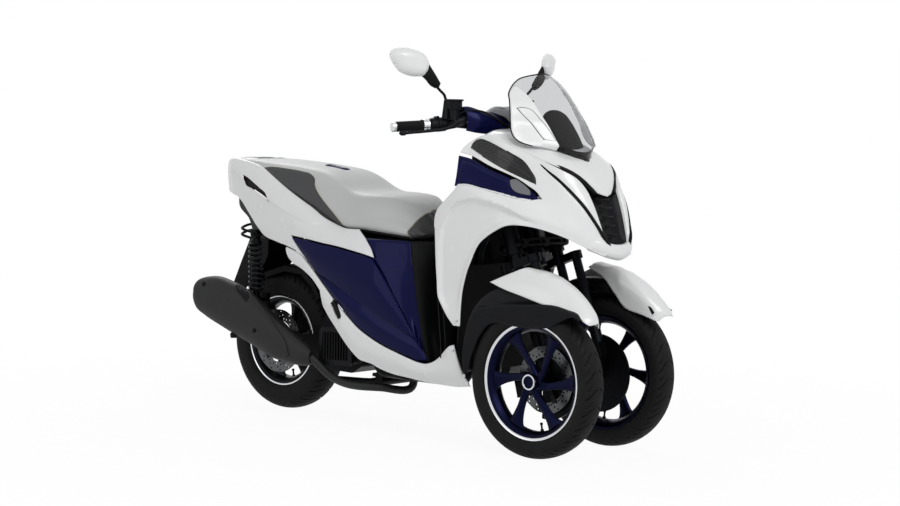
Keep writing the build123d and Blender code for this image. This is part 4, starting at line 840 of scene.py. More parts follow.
skirtForm = SideForm(
    [(-466, 177, 609), (-375, 195, 587), (-290, 204, 524), (-180, 211, 431), (-72, 216, 353), (9, 218, 317),
     (94, 219, 292), (157, 219, 276), (233, 218, 265), (300, 217, 292), (335, 216, 326), (364, 216, 336),
     (430, 212, 218)],
    [(-466, 178, 594), (-375, 196, 565), (-290, 206, 500), (-250, 209, 455), (-180, 214, 395),
     (-72, 219, 303), (94, 221, 262), (233, 221, 237), (335, 220, 262), (400, 217, 230), (430, 214, 212)],
    [(-466, 175, 565), (-375, 192, 534), (-300, 200, 478), (-250, 203, 418), (-125, 206, 280),
     (-72, 206, 243), (9, 205, 230), (94, 203, 209), (233, 201, 197), (370, 202, 195), (430, 207, 203)],
)
skirtOutline = [
    (-466, 608, 1), (-420, 600), (-375, 587), (-330, 556), (-290, 523), (-235, 477), (-180, 431), (-125, 389),
    (-72, 353), (-30, 333), (9, 317), (50, 303), (94, 291), (157, 275), (210, 264), (240, 263), (264, 269),
    (300, 291), (326, 319), (344, 333), (362, 337, 1), (370, 315), (384, 283), (400, 252), (414, 231),
    (429, 214), (430, 205, 1), (372, 197), (310, 196), (252, 197), (159, 204), (64, 213), (16, 224),
    (-17, 236), (-45, 240), (-69, 244), (-95, 259), (-125, 282), (-190, 345), (-240, 396), (-256, 418),
    (-261, 444), (-264, 468, 1), (-300, 500), (-374, 537), (-420, 552), (-452, 572), (-462, 590),
]
pegSlot = [(-200, 438), (-192, 446), (-180, 432), (-166, 409), (-157, 386), (-163, 380),
           (-178, 390), (-193, 414)]
skirt = sidePanel(skirtForm, skirtOutline, [pegSlot], roll=5.0, depth=6.0)
piece("sideSkirts", [skirt], "white", "chassis", "white", "skirt_right", "skirt_left",
      wall=panelSizes["wall"], both=True)
slotFloor = sidePanel(skirtForm, pegSlot, roll=1.0, tuck=5.0, spacing=6)
piece("pegSlots", [slotFloor], "black", "chassis", "black", wall=1.5, both=True)

coverForm = SideForm(
    [(-424, 191, 646), (-350, 198, 641), (-264, 205, 632), (-182, 209, 623), (-108, 211, 614), (-9, 212, 597),
     (60, 213, 512), (131, 212, 417), (186, 208, 342)],
    [(-424, 191, 640), (-350, 202, 606), (-264, 210, 570), (-182, 216, 548), (-108, 220, 540), (-9, 221, 497),
     (60, 219, 445), (131, 215, 389), (186, 209, 338)],
    [(-424, 190, 636), (-350, 198, 588), (-294, 200, 530), (-182, 209, 487), (-55, 214, 436), (87, 215, 377),
     (186, 208, 333)],
)
coverOutline = [
    (-423, 644, 1), (-340, 639), (-264, 630), (-180, 622), (-108, 612), (-55, 604), (-13, 594, 1), (20, 560),
    (60, 511), (100, 458), (131, 416), (160, 374), (184, 343, 1), (140, 356), (87, 378), (20, 405),
    (-55, 438), (-120, 463), (-182, 490), (-240, 512), (-292, 532, 1), (-330, 563), (-382, 608),
]
cover = sidePanel(coverForm, coverOutline, roll=5.0, depth=4.0)
piece("blueSideCovers", [cover], "blue", "chassis", "blue", "side_covers", wall=panelSizes["wall"], both=True)

# a blue rail with a crest line, from the tail seam down to the floor
sillForm = SideForm(
    [(-286, 199, 529), (-182, 206, 484), (-55, 211, 431), (87, 211, 371), (157, 209, 349), (200, 208, 330),
     (236, 206, 290)],
    [(-286, 201, 526), (-182, 214, 462), (-72, 218, 400), (9, 219, 368), (94, 218, 340), (157, 216, 322),
     (200, 213, 305), (236, 208, 285)],
    [(-286, 200, 523), (-182, 208, 440), (-72, 213, 364), (9, 214, 328), (94, 214, 303), (157, 213, 286),
     (236, 212, 270)],
)
sillOutline = [
    (-286, 530, 1), (-240, 514), (-182, 493), (-120, 467), (-55, 441), (20, 408), (87, 381), (140, 359),
    (184, 339), (206, 318), (226, 296), (240, 274, 1), (200, 270), (157, 279), (94, 295), (40, 310), (9, 320),
    (-30, 336), (-72, 356), (-125, 392), (-182, 434), (-235, 480),
]
sill = sidePanel(sillForm, sillOutline, roll=4.0, depth=5.0)
piece("blueSills", [sill], "blue", "chassis", "blue", "side_sills", wall=panelSizes["wall"], both=True)
print("skirts, side covers and sills ready")

tailForm = SideForm(
    [(-892, 66, 902), (-850, 90, 905), (-793, 112, 909), (-738, 119, 904), (-636, 133, 886),
     (-528, 146, 833), (-419, 155, 782), (-288, 165, 722), (-187, 167, 690), (-118, 172, 690),
     (-60, 186, 662), (-7, 208, 602)],
    [(-892, 74, 886), (-850, 96, 886), (-793, 121, 885), (-738, 130, 877), (-636, 146, 850),
     (-528, 160, 800), (-419, 175, 748), (-288, 189, 692), (-187, 192, 665), (-118, 193, 664),
     (-60, 200, 643), (-7, 210, 600)],
    [(-892, 78, 862), (-850, 100, 862), (-793, 128, 854), (-708, 143, 826), (-636, 157, 798),
     (-528, 175, 752), (-450, 186, 714), (-376, 198, 676), (-300, 205, 650), (-187, 208, 632),
     (-108, 211, 618), (-7, 212, 596)],
    [(-892, 70, 785), (-850, 92, 783), (-793, 117, 776), (-708, 129, 716), (-636, 144, 660),
     (-605, 149, 636), (-528, 165, 616), (-466, 177, 608), (-376, 195, 586), (-290, 204, 524),
     (-187, 209, 520), (-7, 212, 520)],
)
tailOutline = [
    (-846, 902, 1), (-820, 906), (-793, 909), (-738, 904), (-690, 897), (-636, 886), (-580, 860), (-528, 833),
    (-470, 805), (-419, 782), (-350, 752), (-288, 722), (-240, 703), (-187, 690), (-150, 689), (-116, 690, 1),
    (-92, 676), (-62, 655), (-32, 628), (-9, 600, 1), (-55, 609), (-108, 617), (-180, 627), (-264, 635),
    (-340, 644), (-427, 650, 1), (-386, 611), (-334, 566), (-296, 533, 1), (-330, 560), (-375, 590),
    (-420, 603), (-466, 612, 1), (-530, 622), (-605, 638), (-650, 668), (-708, 716), (-768, 766), (-812, 778),
    (-844, 784, 1),
]
tailSlot = [(-722, 850, 1), (-712, 818), (-668, 804), (-617, 787), (-560, 764, 1), (-579, 789), (-617, 808),
            (-659, 827), (-692, 841)]
# lower edge of the raised upper band, x and z
tailFold = np.array([(-860, 868), (-790, 866), (-754, 852), (-704, 822), (-659, 800), (-610, 782),
                     (-552, 764), (-482, 738), (-382, 708), (-320, 699), (-265, 704), (-230, 715)], float)


def tailStep(points, clear):
    # the upper band stands proud, and its lower edge is a soft fold
    above = points[:, 1] - np.interp(points[:, 0], tailFold[:, 0], tailFold[:, 1])
    share = unit(above / 7 + 0.5)
    fade = unit((points[:, 0] + 860) / 60) * unit((-235 - points[:, 0]) / 60)
    return -5.0 * fade * share * share * (3 - 2 * share)


tail = sidePanel(tailForm, tailOutline, [tailSlot], roll=4.0, depth=5.0, spacing=7.0, tuck=tailStep)
piece("tailSides", [tail], "white", "chassis", "white", "tail_right", "tail_left", wall=panelSizes["wall"],
      both=True, sharp=60)
slotBack = sidePanel(tailForm, tailSlot, roll=1.5, tuck=7.0, spacing=6)
piece("tailSlots", [slotBack], "black", "chassis", "black", wall=1.5, both=True)
print("tail ready")


def turnedMesh(profile, centre, segments=120):
    # a closed (radius, offset along the axle) profile turned about the axle
    x, y, z = centre
    rings = []
    for n in range(segments):
        a = 2 * pi * n / segments
        rings.append([(x + r * cos(a), y + t, z + r * sin(a)) for r, t in profile])
    rings.append(rings[0])
    return sheetMesh(np.array(rings), closed=True)


def softCorners(points, cut):
    # each corner of a closed section replaced by two points, cut mm either side of it
    points = np.array(points, float)
    out = []
    for before, here, after in zip(np.roll(points, 1, axis=0), points, np.roll(points, -1, axis=0)):
        for other in (before, after):
            way = other - here
            out.append(here + way * min(cut / max(np.linalg.norm(way), 1e-9), 0.45))
    return np.array(out)


def tubeMesh(points, radius, sides=14, spacing=None, caps=True):
    # a round tube along a smooth line; radius is one number, or one for each given point
    points = np.array(points, float)
    radii = np.full(len(points), radius, float) if np.isscalar(radius) else np.array(radius, float)
    if spacing:
        joined = curveThrough(np.column_stack([points, radii]), spacing)
        points, radii = joined[:, :3], joined[:, 3]
    along = np.gradient(points, axis=0)
    along /= np.maximum(np.linalg.norm(along, axis=1), 1e-9)[:, None]
    side = np.cross(along[0], (0.123, 0.456, 0.881))
    rings = []
    for p, way, r in zip(points, along, radii):
        side = side - way * (side @ way)
        side /= np.linalg.norm(side)
        up = np.cross(way, side)
        rings.append([p + r * (side * cos(2 * pi * k / sides) + up * sin(2 * pi * k / sides))
                      for k in range(sides)])
    return sheetMesh(np.array(rings), closed=True, caps=caps)


def plateMesh(outline, holes, lift, thickness):
    # a flat plate cut to an outline with holes; lift turns its flat (a, b, depth) into station points
    loops = [np.array(loop, float) for loop in [outline] + list(holes)]
    flat, edges = [], []
    for loop in loops:
        edges += loopEdges(len(flat), loop)
        flat += list(loop)
    points, faces = triangles(flat, edges, loops)
    n = len(points)
    both = [lift(a, b, depth) for depth in (0, thickness) for a, b in points]
    out = faces + [tuple(i + n for i in reversed(f)) for f in faces]
    directed = {(f[i], f[(i + 1) % 3]): True for f in faces for i in range(3)}
    out += [(b, a, a + n, b + n) for a, b in directed if (b, a) not in directed]
    return [spot(*p) for p in both], out


rimFlange = 13  # mm from the bead seat up to the flange's edge
tyreSizes = {"pitch": 58.0, "grooveWidth": 5.2, "grooveDepth": 4.6, "shoulderDepth": 2.6, "sweep": 46.0}
wheelSizes = {
    "front": {"radius": 250.0, "bead": 177.0, "width": 92.0, "hub": 34.0, "band": 13.0, "hubReach": 41.0,
              "disc": (110, 74, 24)},
    "rear": {"radius": 251.0, "bead": 152.0, "width": 110.0, "hub": 34.0, "band": 5.0, "hubReach": 30.0,
             "disc": (115, 78, 26)},
}


def tyreProfile(size):
    radius, half, bead = size["radius"], size["width"] / 2, size["bead"]
    flange = bead + rimFlange
    side = [(bead + 1, -half + 21), (flange - 1, -half + 19.5), (flange + 2.5, -half + 10.5),
            (flange + 5.5, -half + 6.2), (flange + 6.6, -half + 6.0), (flange + 9.5, -half + 3.6)]
    crown = [(0.36, -1.0), (0.5, -1.0), (0.63, -0.972), (0.74, -0.9), (0.83, -0.8), (0.9, -0.67),
             (0.95, -0.5), (0.983, -0.3), (0.997, -0.12), (1.0, 0.0)]
    side += [(flange + (radius - flange) * up, half * out) for up, out in crown]
    fine = list(curveThrough(side, 3.4))
    return np.array(fine + [(r, -t) for r, t in reversed(fine[:-1])])


def treadTyre(size, centre, way):
    # the grid is sheared so that its columns lie along the curved grooves
    profile = tyreProfile(size)
    radius, half = size["radius"], size["width"] / 2
    count = int(round(2 * pi * radius / tyreSizes["pitch"]))
    wide = tyreSizes["grooveWidth"] / tyreSizes["pitch"]
    columns = [(0.0, 0, 0), (0.2 * wide, 1, 0), (0.8 * wide, 1, 0), (wide, 0, 0), (0.3, 0, 0), (0.5, 0, 0),
               (0.5 + 0.2 * wide, 0, 1), (0.5 + 0.7 * wide, 0, 1), (0.5 + 0.9 * wide, 0, 0), (0.8, 0, 0)]
    across = np.abs(profile[:, 1]) / half
    tread = profile[:, 0] > radius - 0.5 * (radius - size["bead"] - rimFlange)
    long = tyreSizes["grooveDepth"] * unit((across - 0.14) / 0.1) * unit((0.93 - across) / 0.06)
    short = tyreSizes["shoulderDepth"] * unit((across - 0.5) / 0.08) * unit((0.9 - across) / 0.06)
    long, short = long * tread, short * tread
    bend = tyreSizes["sweep"] / radius * (across ** 1.7) * way
    fade = unit((profile[:, 0] - (size["bead"] + 20)) / 14)
    slope = np.gradient(profile, axis=0)
    slope /= np.linalg.norm(slope, axis=1)[:, None]
    normal = np.stack([slope[:, 1], -slope[:, 0]], axis=1)
    x, y, z = centre
    rings = []
    for n in range(count):
        for share, deep, shallow in columns:
            ring = []
            for k, (r, t) in enumerate(profile):
                a = 2 * pi * (n + share) / count + bend[k] * fade[k]
                cut = deep * long[k] + shallow * short[k]
                rr, tt = r - normal[k, 0] * cut, t - normal[k, 1] * cut
                ring.append((x + rr * cos(a), y + tt, z + rr * sin(a)))
            rings.append(ring)
    rings.append(rings[0])
    return sheetMesh(np.array(rings), closed=True)


def spokeMesh(size, centre, angle, outside):
    # a blade that leaves the hub swept, narrows, and flares into the barrel, with a crest on its face
    reach = size["bead"] - 15
    hub = size["hub"]
    stations = [(hub - 14, 24, 44, 40, 7), (hub, 20, 34, 35, 8), (hub + 14, 14, 27, 28, 9),
                (hub + 34, 7, 25, 22, 10), (0.62 * reach, 1, 28, 18, 10), (0.78 * reach, -1.5, 36, 18, 9.5),
                (0.9 * reach, -3, 47, 19, 9), (0.97 * reach, -4, 60, 21, 8), (reach, -5, 72, 24, 7)]
    table = np.array(stations, float)
    asked = np.linspace(table[0, 0], table[-1, 0], 22)
    rows = np.stack([glide(table[:, 0], table[:, k], asked) for k in range(1, 5)], axis=1)
    section = softCorners([(-0.5, 0.28), (-0.14, 0.5), (0.5, 0.12), (0.46, -0.32), (0.26, -0.5), (-0.3, -0.5),
                           (-0.5, -0.2)], 0.07)
    x, y, z = centre
    rings = []
    for r, (turn, wide, thick, off) in zip(asked, rows):
        a = angle + radians(turn) * outside
        ring = []
        for across, out in section:
            u = across * wide * (-outside)
            ring.append((x + r * cos(a) - u * sin(a), y + outside * (off + out * thick),
                         z + r * sin(a) + u * cos(a)))
        rings.append(ring)
    return sheetMesh(np.array(rings), closed=True, caps=True)


def castWheel(name, kind, centre, outside, phase, valveAngle, body, finish, node):
    size = wheelSizes[kind]
    bead, half, hub = size["bead"], size["width"] / 2 - 12, size["hub"]
    lip, inner = bead + rimFlange, bead - 16
    barrel = [(lip, -half), (lip, -half + 3), (bead + 2, -half + 7), (bead, -half + 10),
              (bead - 1, -half + 17), (bead - 8, -half + 22), (bead - 11, -half + 25)]
    barrel += [(r, -t) for r, t in reversed(barrel)]
    cone = [(lip - 4.5, -half), (lip - 6, -half + 1.0), (bead - 3, -half + 6), (bead - 6, -half + 9),
            (inner + 1.5, -half + 22), (inner, -half + 26)]
    barrel += [(r, -t) for r, t in cone] + [(r, t) for r, t in reversed(cone)]
    tube = size["hubReach"]
    core = [(12, tube), (23, tube), (24.5, tube - 1.5), (25, tube - 12), (27, 14), (31, 2), (hub + 1, -6),
            (hub, -16), (hub - 4, -22), (hub - 10, -26), (12, -26)]
    wide, near, far = (24, -24, -52) if kind == "front" else (26, -44, 60)

    def turned(profile, segments):
        return turnedMesh([(r, t * outside) for r, t in profile], centre, segments)
    pieces = [turnedMesh(barrel, centre, 144), turned(core, 72)]
    pieces += [spokeMesh(size, centre, radians(phase + 60 * n), outside) for n in range(6)]
    pieces.append(turned([(12, near), (wide, near), (wide, far), (12, far)], 48))
    piece(name, pieces, finish, body, "rear_wheel_paint" if kind == "rear" else "wheel_paint", node, sharp=32)
    # machined face on the flange, and on a front wheel a ring round the hub cap
    deep = size["band"]
    drop = 5.2 * (deep - 6.2) / 6.8 if deep > 7 else 0.3
    face = [(lip - 0.3, half + 0.05), (lip - 1.2, half + 0.7), (lip - 4.4, half + 0.7),
            (lip - 6.2, half - 0.3), (lip - deep, half - 0.3 - drop), (lip - deep, half - 1.2 - drop),
            (lip - 4.5, half - 0.3)]
    band = [turned(face, 180)]
    if kind == "front":
        ring = [(25.3, tube - 3.5), (25.3, tube + 2.2), (24.6, tube + 2.8), (20.8, tube + 2.8),
                (20.2, tube + 2.2), (20.2, tube - 1.0), (24.2, tube - 3.5)]
        band.append(turned(ring, 72))
    piece(name + ".machinedFaces", band, "polishedAlloy", body, "alloy", sharp=32)
    if kind == "front":
        cap = [(0.01, tube - 1.6), (19, tube - 1.6), (20.1, tube - 0.6), (20.1, tube - 2.5),
               (0.01, tube - 2.5)]
        piece(name + ".hubCap", [turned(cap, 60)], finish, body, "wheel_paint", sharp=32)
    x, y, z = centre
    a = radians(valveAngle)
    stem = [(x + (inner + r) * cos(a), y, z + (inner + r) * sin(a))
            for r in (1, -6, -7, -20, -20.5, -27, -28)]
    piece(name + ".valve", [tubeMesh(stem, [6.5, 5.5, 3.4, 3.2, 4.8, 4.8, 3.6], 14)], "black", body,
          "black", sharp=32)


def drilledDisc(name, centre, y, outer, inner, hubR, body, finish):
    # a floating ring with rows of drilled holes, on a five-armed carrier
    x, z = centre[0], centre[2]

    def ringOf(radius, count, at=(0, 0), dip=0.0):
        # a circle, or with a dip a rim of ten shallow waves
        ring = []
        for k in range(count):
            a = 2 * pi * k / count
            r = radius - dip * (0.5 - 0.5 * cos(10 * a))
            ring.append((at[0] + r * cos(a), at[1] + r * sin(a)))
        return ring
    holes = [ringOf(inner, 90)]
    rows = 15
    for n in range(rows):
        for step, share in ((0.0, 0.2), (0.26, 0.5), (0.52, 0.8), (0.66, 0.26)):
            a = 2 * pi * (n + step) / rows
            r = inner + (outer - inner) * share
            holes.append(ringOf(3.4, 10, (r * cos(a), r * sin(a))))
    plate = plateMesh(ringOf(outer, 160, dip=1.2), holes, lambda a, b, d: (x + a, y - 2 + d, z + b), 4.0)
    piece(name, [plate], "discSteel", body, "steel", sharp=32)
    arms = []
    for n in range(5):
        a = 2 * pi * n / 5 + 0.2
        arm = []
        for r, wide in ((hubR - 6, 30), (hubR + 8, 20), ((hubR + inner) / 2, 13), (inner - 8, 15),
                        (inner + 7, 22)):
            c, s = cos(a), sin(a)
            arm.append([(x + r * c - u * s, y + t, z + r * s + u * c)
                        for u, t in ((-wide / 2, -3), (wide / 2, -3), (wide / 2, 3), (-wide / 2, 3))])
        arms.append(sheetMesh(np.array(arm), closed=True, caps=True))
    piece(name + ".carrier", arms, finish, body, "black", sharp=32)


rearStation = (-612.5, 0.0, 251.0)
for side, out, valveAngle in (("right", -1, -80), ("left", 1, -95)):
    centre, body = (frontAxleStation, 192.5 * out, 250.0), "wheel_front_" + side
    castWheel("frontWheel." + side, "front", centre, out, 0.0, valveAngle, body, "wheelBlue", body)
    drilledDisc("frontDisc." + side, centre, centre[1] - 50 * out, *wheelSizes["front"]["disc"], body,
                "wheelBlack")
    piece("frontTyre." + side, [treadTyre(wheelSizes["front"], centre, -1)], "tyreRubber", body, "tyre",
          "tyre_front_" + side, sharp=45)
castWheel("rearWheel", "rear", rearStation, -1, 10.0, -80, "wheel_rear", "wheelBlack", "wheel_rear")
drilledDisc("rearDisc", rearStation, -58.0, *wheelSizes["rear"]["disc"], "wheel_rear", "wheelBlack")
piece("rearTyre", [treadTyre(wheelSizes["rear"], rearStation, -1)], "tyreRubber", "wheel_rear", "tyre",
      "tyre_rear", sharp=45)
print("wheels, discs and tyres ready")


# white top cover, rear to front; each row: inner edge, inner shoulder, crown, outer shoulder, outer edge
coverRows = [
    [(634, -150, 596), (640, -164, 607), (653, -200, 613), (598, -222, 590), (529, -236, 559)],
    [(660, -147, 586), (668, -160, 601), (692, -197, 607), (655, -225, 579), (590, -240, 541)],
    [(700, -145, 566), (712, -156, 595), (735, -197, 601), (712, -227, 567), (665, -243, 525)],
    [(746, -143, 520), (757, -152, 583), (783, -198, 586), (768, -229, 546), (738, -244, 508)],
    [(794, -143, 472), (805, -152, 561), (828, -198, 564), (820, -229, 520), (800, -244, 494)],
    [(845, -144, 459), (850, -153, 532), (870, -198, 536), (866, -229, 500), (855, -243, 482)],
    [(882, -147, 449), (888, -156, 498), (906, -198, 502), (904, -227, 482), (900, -239, 471)],
    [(908, -152, 440), (915, -162, 466), (932, -197, 471), (929, -221, 460), (922, -232, 455)],
    [(918, -162, 437), (926, -172, 450), (939, -197, 455), (935, -214, 452), (929, -224, 450)],
]
# black arch: angle round the axle, then radii of the outer edge, fold, ledge foot, rim, crown, inner edge
archRows = [
    (46, 300, 301, 302, 303, 305, 296),
    (50, 291, 299, 303, 306, 308, 298),
    (58, 240, 284, 290, 299, 309, 272),
    (68, 194, 270, 277, 297, 311, 266),
    (80, 180, 254, 264, 298, 314, 266),
    (93, 174, 245, 256, 300, 318, 266),
    (105, 181, 250, 262, 308, 324, 266),
    (116, 196, 262, 275, 320, 333, 266),
    (125, 222, 277, 290, 326, 338, 266),
    (134, 236, 303, 311, 327, 336, 266),
    (144, 238, 300, 307, 319, 327, 266),
    (156, 238, 285, 291, 298, 305, 266),
    (168, 241, 272, 277, 283, 291, 266),
    (179, 247, 261, 265, 270, 279, 266),
]
fenderSizes = {"wall": 2.6}


def archSheet():
    # under the white cover the arch steps in, so that it never shows above it
    x, z = frontAxleStation, 250.0
    rows = []
    for angle, low, fold, ledge, rim, crown, inner in archRows:
        a = radians(angle)
        step = float(np.interp(angle, (104, 116), (1, 0)))
        section = [(-246.5, low), (-248.5, (low + fold) / 2), (-250, fold - 3), (-249.5, fold),
                   (-238 + 6 * step, ledge), (-234.5 + 9 * step, ledge + 0.45 * (rim - ledge)),
                   (-228 + 14 * step, rim), (-208 + 6 * step, crown - 3), (-192, crown),
                   (-164, crown - 4), (-153.5, crown - 16), (-150.5, 0.5 * (crown + inner)), (-150, inner)]
        rows.append([(x + r * cos(a), y, z + r * sin(a)) for y, r in section])
    fine = []
    for row in rows:
        row = np.array(row, float)
        along = np.concatenate([[0], np.cumsum(np.linalg.norm(np.diff(row, axis=0), axis=1))])
        asked = np.concatenate([np.linspace(a, b, 5)[:-1] for a, b in zip(along[:-1], along[1:])]
                               + [along[-1:]])
        fine.append(np.stack([glide(along, row[:, k], asked) for k in range(3)], axis=1))
    fine = np.array(fine)
    return np.stack([curveThrough(fine[:, k], count=90) for k in range(fine.shape[1])], axis=1)


cover = gridSheet(coverRows, 30, 56)
arch = archSheet()
for side, flip in (("right", 1), ("left", -1)):
    way = np.array([1, flip, 1])
    piece("mudguard." + side, [sheetMesh(cover * way)], "white", "fork_" + side, "white", "mudguard_" + side,
          wall=fenderSizes["wall"], outward=(0, -flip * 0.4, 1))
    piece("wheelArch." + side, [sheetMesh(arch * way)], "satinBlack", "fork_" + side, "black",
          "arch_" + side, wall=fenderSizes["wall"], outward=(0, -flip, 0.3), sharp=50)
print("front mudguards ready")


def bothSides(rows):
    # half rows from the right edge to the centre line, made whole
    return [row + [(x, -y, z) for x, y, z in reversed(row[:-1])] for row in rows]


# the white tongue between the slits, rear to front
noseRows = bothSides([
    [(446, -181, 1030), (456, -152, 1044), (464, -84, 1051), (468, 0, 1053)],
    [(520, -181, 1018), (520, -158, 1034), (520, -90, 1042), (520, 0, 1045)],
    [(583, -175, 992), (583, -150, 1010), (584, -86, 1022), (584, 0, 1027)],
    [(636, -163, 967), (640, -134, 989), (644, -76, 1000), (646, 0, 1004)],
    [(680, -157, 954), (688, -120, 971), (694, -66, 975), (698, 0, 975)],
    [(712, -148, 943), (723, -106, 953), (733, -56, 952), (738, 0, 950)],
    [(742, -128, 928), (756, -88, 932), (768, -46, 926), (773, 0, 920)],
    [(768, -101, 910), (781, -68, 908), (792, -36, 897), (797, 0, 889)],
    [(785, -77, 891), (797, -53, 883), (806, -27, 873), (810, 0, 866)],
    [(798, -54, 868), (807, -36, 861), (812, -18, 855), (815, 0, 851)],
    [(806, -36, 853), (811, -24, 849), (814, -12, 846), (817, 0, 844)],
])
# white strip between slit and mouth, top to bottom: slit edge, ridge, mouth edge, returned lip
stripRows = [
    [(630, -168, 972), (633, -167.5, 972), (637, -166, 971), (636, -164, 969)],
    [(660, -163.5, 947), (674, -161, 951), (689, -156, 949), (684, -151, 944)],
    [(693, -158.5, 921), (716, -152, 928), (734, -139, 928), (727, -131, 922)],
    [(738, -150, 887), (758, -134, 897), (771, -104, 901), (762, -97, 895)],
    [(771, -136, 852), (790, -112, 864), (796, -85, 867), (786, -79, 863)],
    [(800, -121, 815), (816, -100, 824), (819, -79, 825), (808, -73, 822)],
    [(835, -97, 754), (844, -83, 759), (843, -70, 761), (832, -66, 759)],
    [(859, -76, 711), (864, -68, 713), (857, -61, 713), (846, -58, 712)],
    [(866, -70, 694), (868, -63, 694), (861, -56, 696), (850, -54, 696)],
]
# white band round the foot of the mouth: inner lip, outer lip, face, low edge, returned edge
chinRows = bothSides([
    [(826, -97, 706), (846, -76, 704), (856, -57, 700), (862, -34, 694), (864, 0, 692)],
    [(826, -105, 708), (852, -84, 706), (866, -63, 700), (875, -36, 694), (878, 0, 691)],
    [(820, -113, 700), (850, -93, 693), (870, -68, 686), (883, -38, 679), (887, 0, 675)],
    [(816, -115, 688), (846, -95, 680), (868, -70, 671), (883, -39, 663), (888, 0, 659)],
    [(822, -108, 678), (846, -88, 669), (864, -66, 660), (877, -37, 652), (882, 0, 648)],
    [(820, -98, 673), (840, -79, 663), (855, -58, 653), (867, -31, 645), (871, 0, 641)],
])
# black lining of the mouth, from under the tongue down
mouthRows = bothSides([
    [(742, -108, 918), (738, -86, 914), (734, -50, 912), (732, 0, 912)],
    [(768, -98, 894), (756, -82, 890), (748, -48, 888), (746, 0, 887)],
    [(792, -82, 862), (778, -68, 860), (768, -44, 858), (766, 0, 858)],
    [(813, -77, 822), (800, -62, 820), (790, -40, 818), (788, 0, 818)],
    [(838, -70, 760), (824, -56, 758), (815, -36, 757), (813, 0, 757)],
    [(853, -61, 714), (840, -48, 713), (833, -30, 712), (831, 0, 712)],
    [(858, -56, 698), (850, -44, 697), (846, -28, 697), (845, 0, 696)],
    [(862, -55, 693), (866, -40, 690), (868, -26, 688), (868, 0, 688)],
])
frontSizes = {"wall": 2.6}

piece("noseCover", [skinMesh(noseRows, 48, 60)], "white", "chassis", "white", "nose_cover",
      wall=frontSizes["wall"], outward=(0.4, 0, 1))
piece("noseStrips", [skinMesh(stripRows, 20, 60)], "white", "chassis", "white", wall=frontSizes["wall"],
      both=True, outward=(1, -1, 0.3), sharp=60)
piece("chinBand", [skinMesh(chinRows, 60, 30)], "white", "chassis", "white", "nose_chin",
      wall=frontSizes["wall"], outward=(1, 0, 0.2), sharp=70)
piece("mouthLining", [skinMesh(mouthRows, 48, 48)], "satinBlack", "chassis", "black", "nose_grille",
      wall=2.0, outward=(1, 0, 0), sharp=60)

# dark seals behind both slits
slitOne = [(640, -159.5, 962), (664, -158, 944), (696, -153, 921), (741, -144, 887), (775, -129, 852),
           (806, -112, 815), (842, -86, 754), (864, -66, 708), (872, -52, 690)]
slitTwo = [(640, -156, 966), (690, -147, 945), (726, -131, 932), (756, -108, 914), (776, -84, 893),
           (792, -66, 872), (806, -48, 852)]
seals = [tubeMesh(slitOne, [2, 5, 6, 6, 6, 6, 6, 6, 4], 10, 8),
         tubeMesh(slitTwo, [3, 7, 8, 9, 9, 8, 6], 10, 8)]
piece("slitSeals", seals, "black", "chassis", "black", both=True)
print("nose, chin and mouth ready")


# z, centre x, quarter x and half width, edge x and half width of the screen
screenRows = np.array([
    (950, 738.5, 737, 5, 735, 9), (962, 733, 730, 15, 723, 30), (974, 727, 723, 28, 707, 54),
    (992, 718, 710, 56, 664, 114), (1004, 711, 698, 78, 604, 178), (1030, 696, 680, 84, 574, 187),
    (1066, 674, 658, 84, 559, 186), (1100, 652, 636, 81, 548, 173), (1140, 624, 611, 75, 533, 159),
    (1172, 601, 590, 67, 516, 144), (1196, 581, 571, 58, 513, 122), (1213, 566, 557, 48, 512, 96),
    (1224, 554, 548, 34, 522, 64), (1231, 546, 544, 14, 538, 30),
], float)
screenOutline = [(0, 951, 1), (-30, 959), (-54, 969), (-84, 981), (-114, 992), (-150, 1000), (-172, 1008),
                 (-184, 1021), (-187, 1040), (-184, 1070), (-173, 1100), (-159, 1140), (-144, 1171),
                 (-122, 1195), (-96, 1212), (-52, 1226), (0, 1232)]
wingOutline = [(-95, 986, 1), (-98, 1018), (-102, 1058), (-106, 1103), (-108, 1141), (-113, 1179),
               (-120, 1194, 1), (-144, 1170), (-159, 1140), (-173, 1100), (-184, 1070), (-187, 1040),
               (-184, 1021), (-172, 1008), (-150, 1000), (-122, 994)]
clipOutline = [(-152, 1121, 1), (-140, 1123), (-128, 1119), (-116, 1084), (-101, 1017, 1), (-128, 1022, 1)]


screenSizes = {"wall": 2.6, "wingLift": 3.0, "clipLift": 4.6, "domeGap": 45.0, "trim": 2.3}


def screenForm(points):
    out = []
    for y, z in points:
        xc, xq, wq, xe, we = (float(glide(screenRows[:, 0], screenRows[:, k], [z])[0]) for k in range(1, 6))
        out.append(float(glide([-we, -wq, 0, wq, we], [xe, xq, xc, xq, xe], [y])[0]))
    return np.array(out)


def domeForm(points):
    # the dark dome behind the screen follows it at a fixed gap
    y, z = points[:, 0], points[:, 1]
    return np.interp(z, screenRows[:, 0], screenRows[:, 1]) - screenSizes["domeGap"] - 14.5 * (y / 73) ** 2


def mirrorLoop(loop):
    return loop + [tuple([-p[0]] + list(p[1:])) for p in reversed(loop) if p[0] != 0]


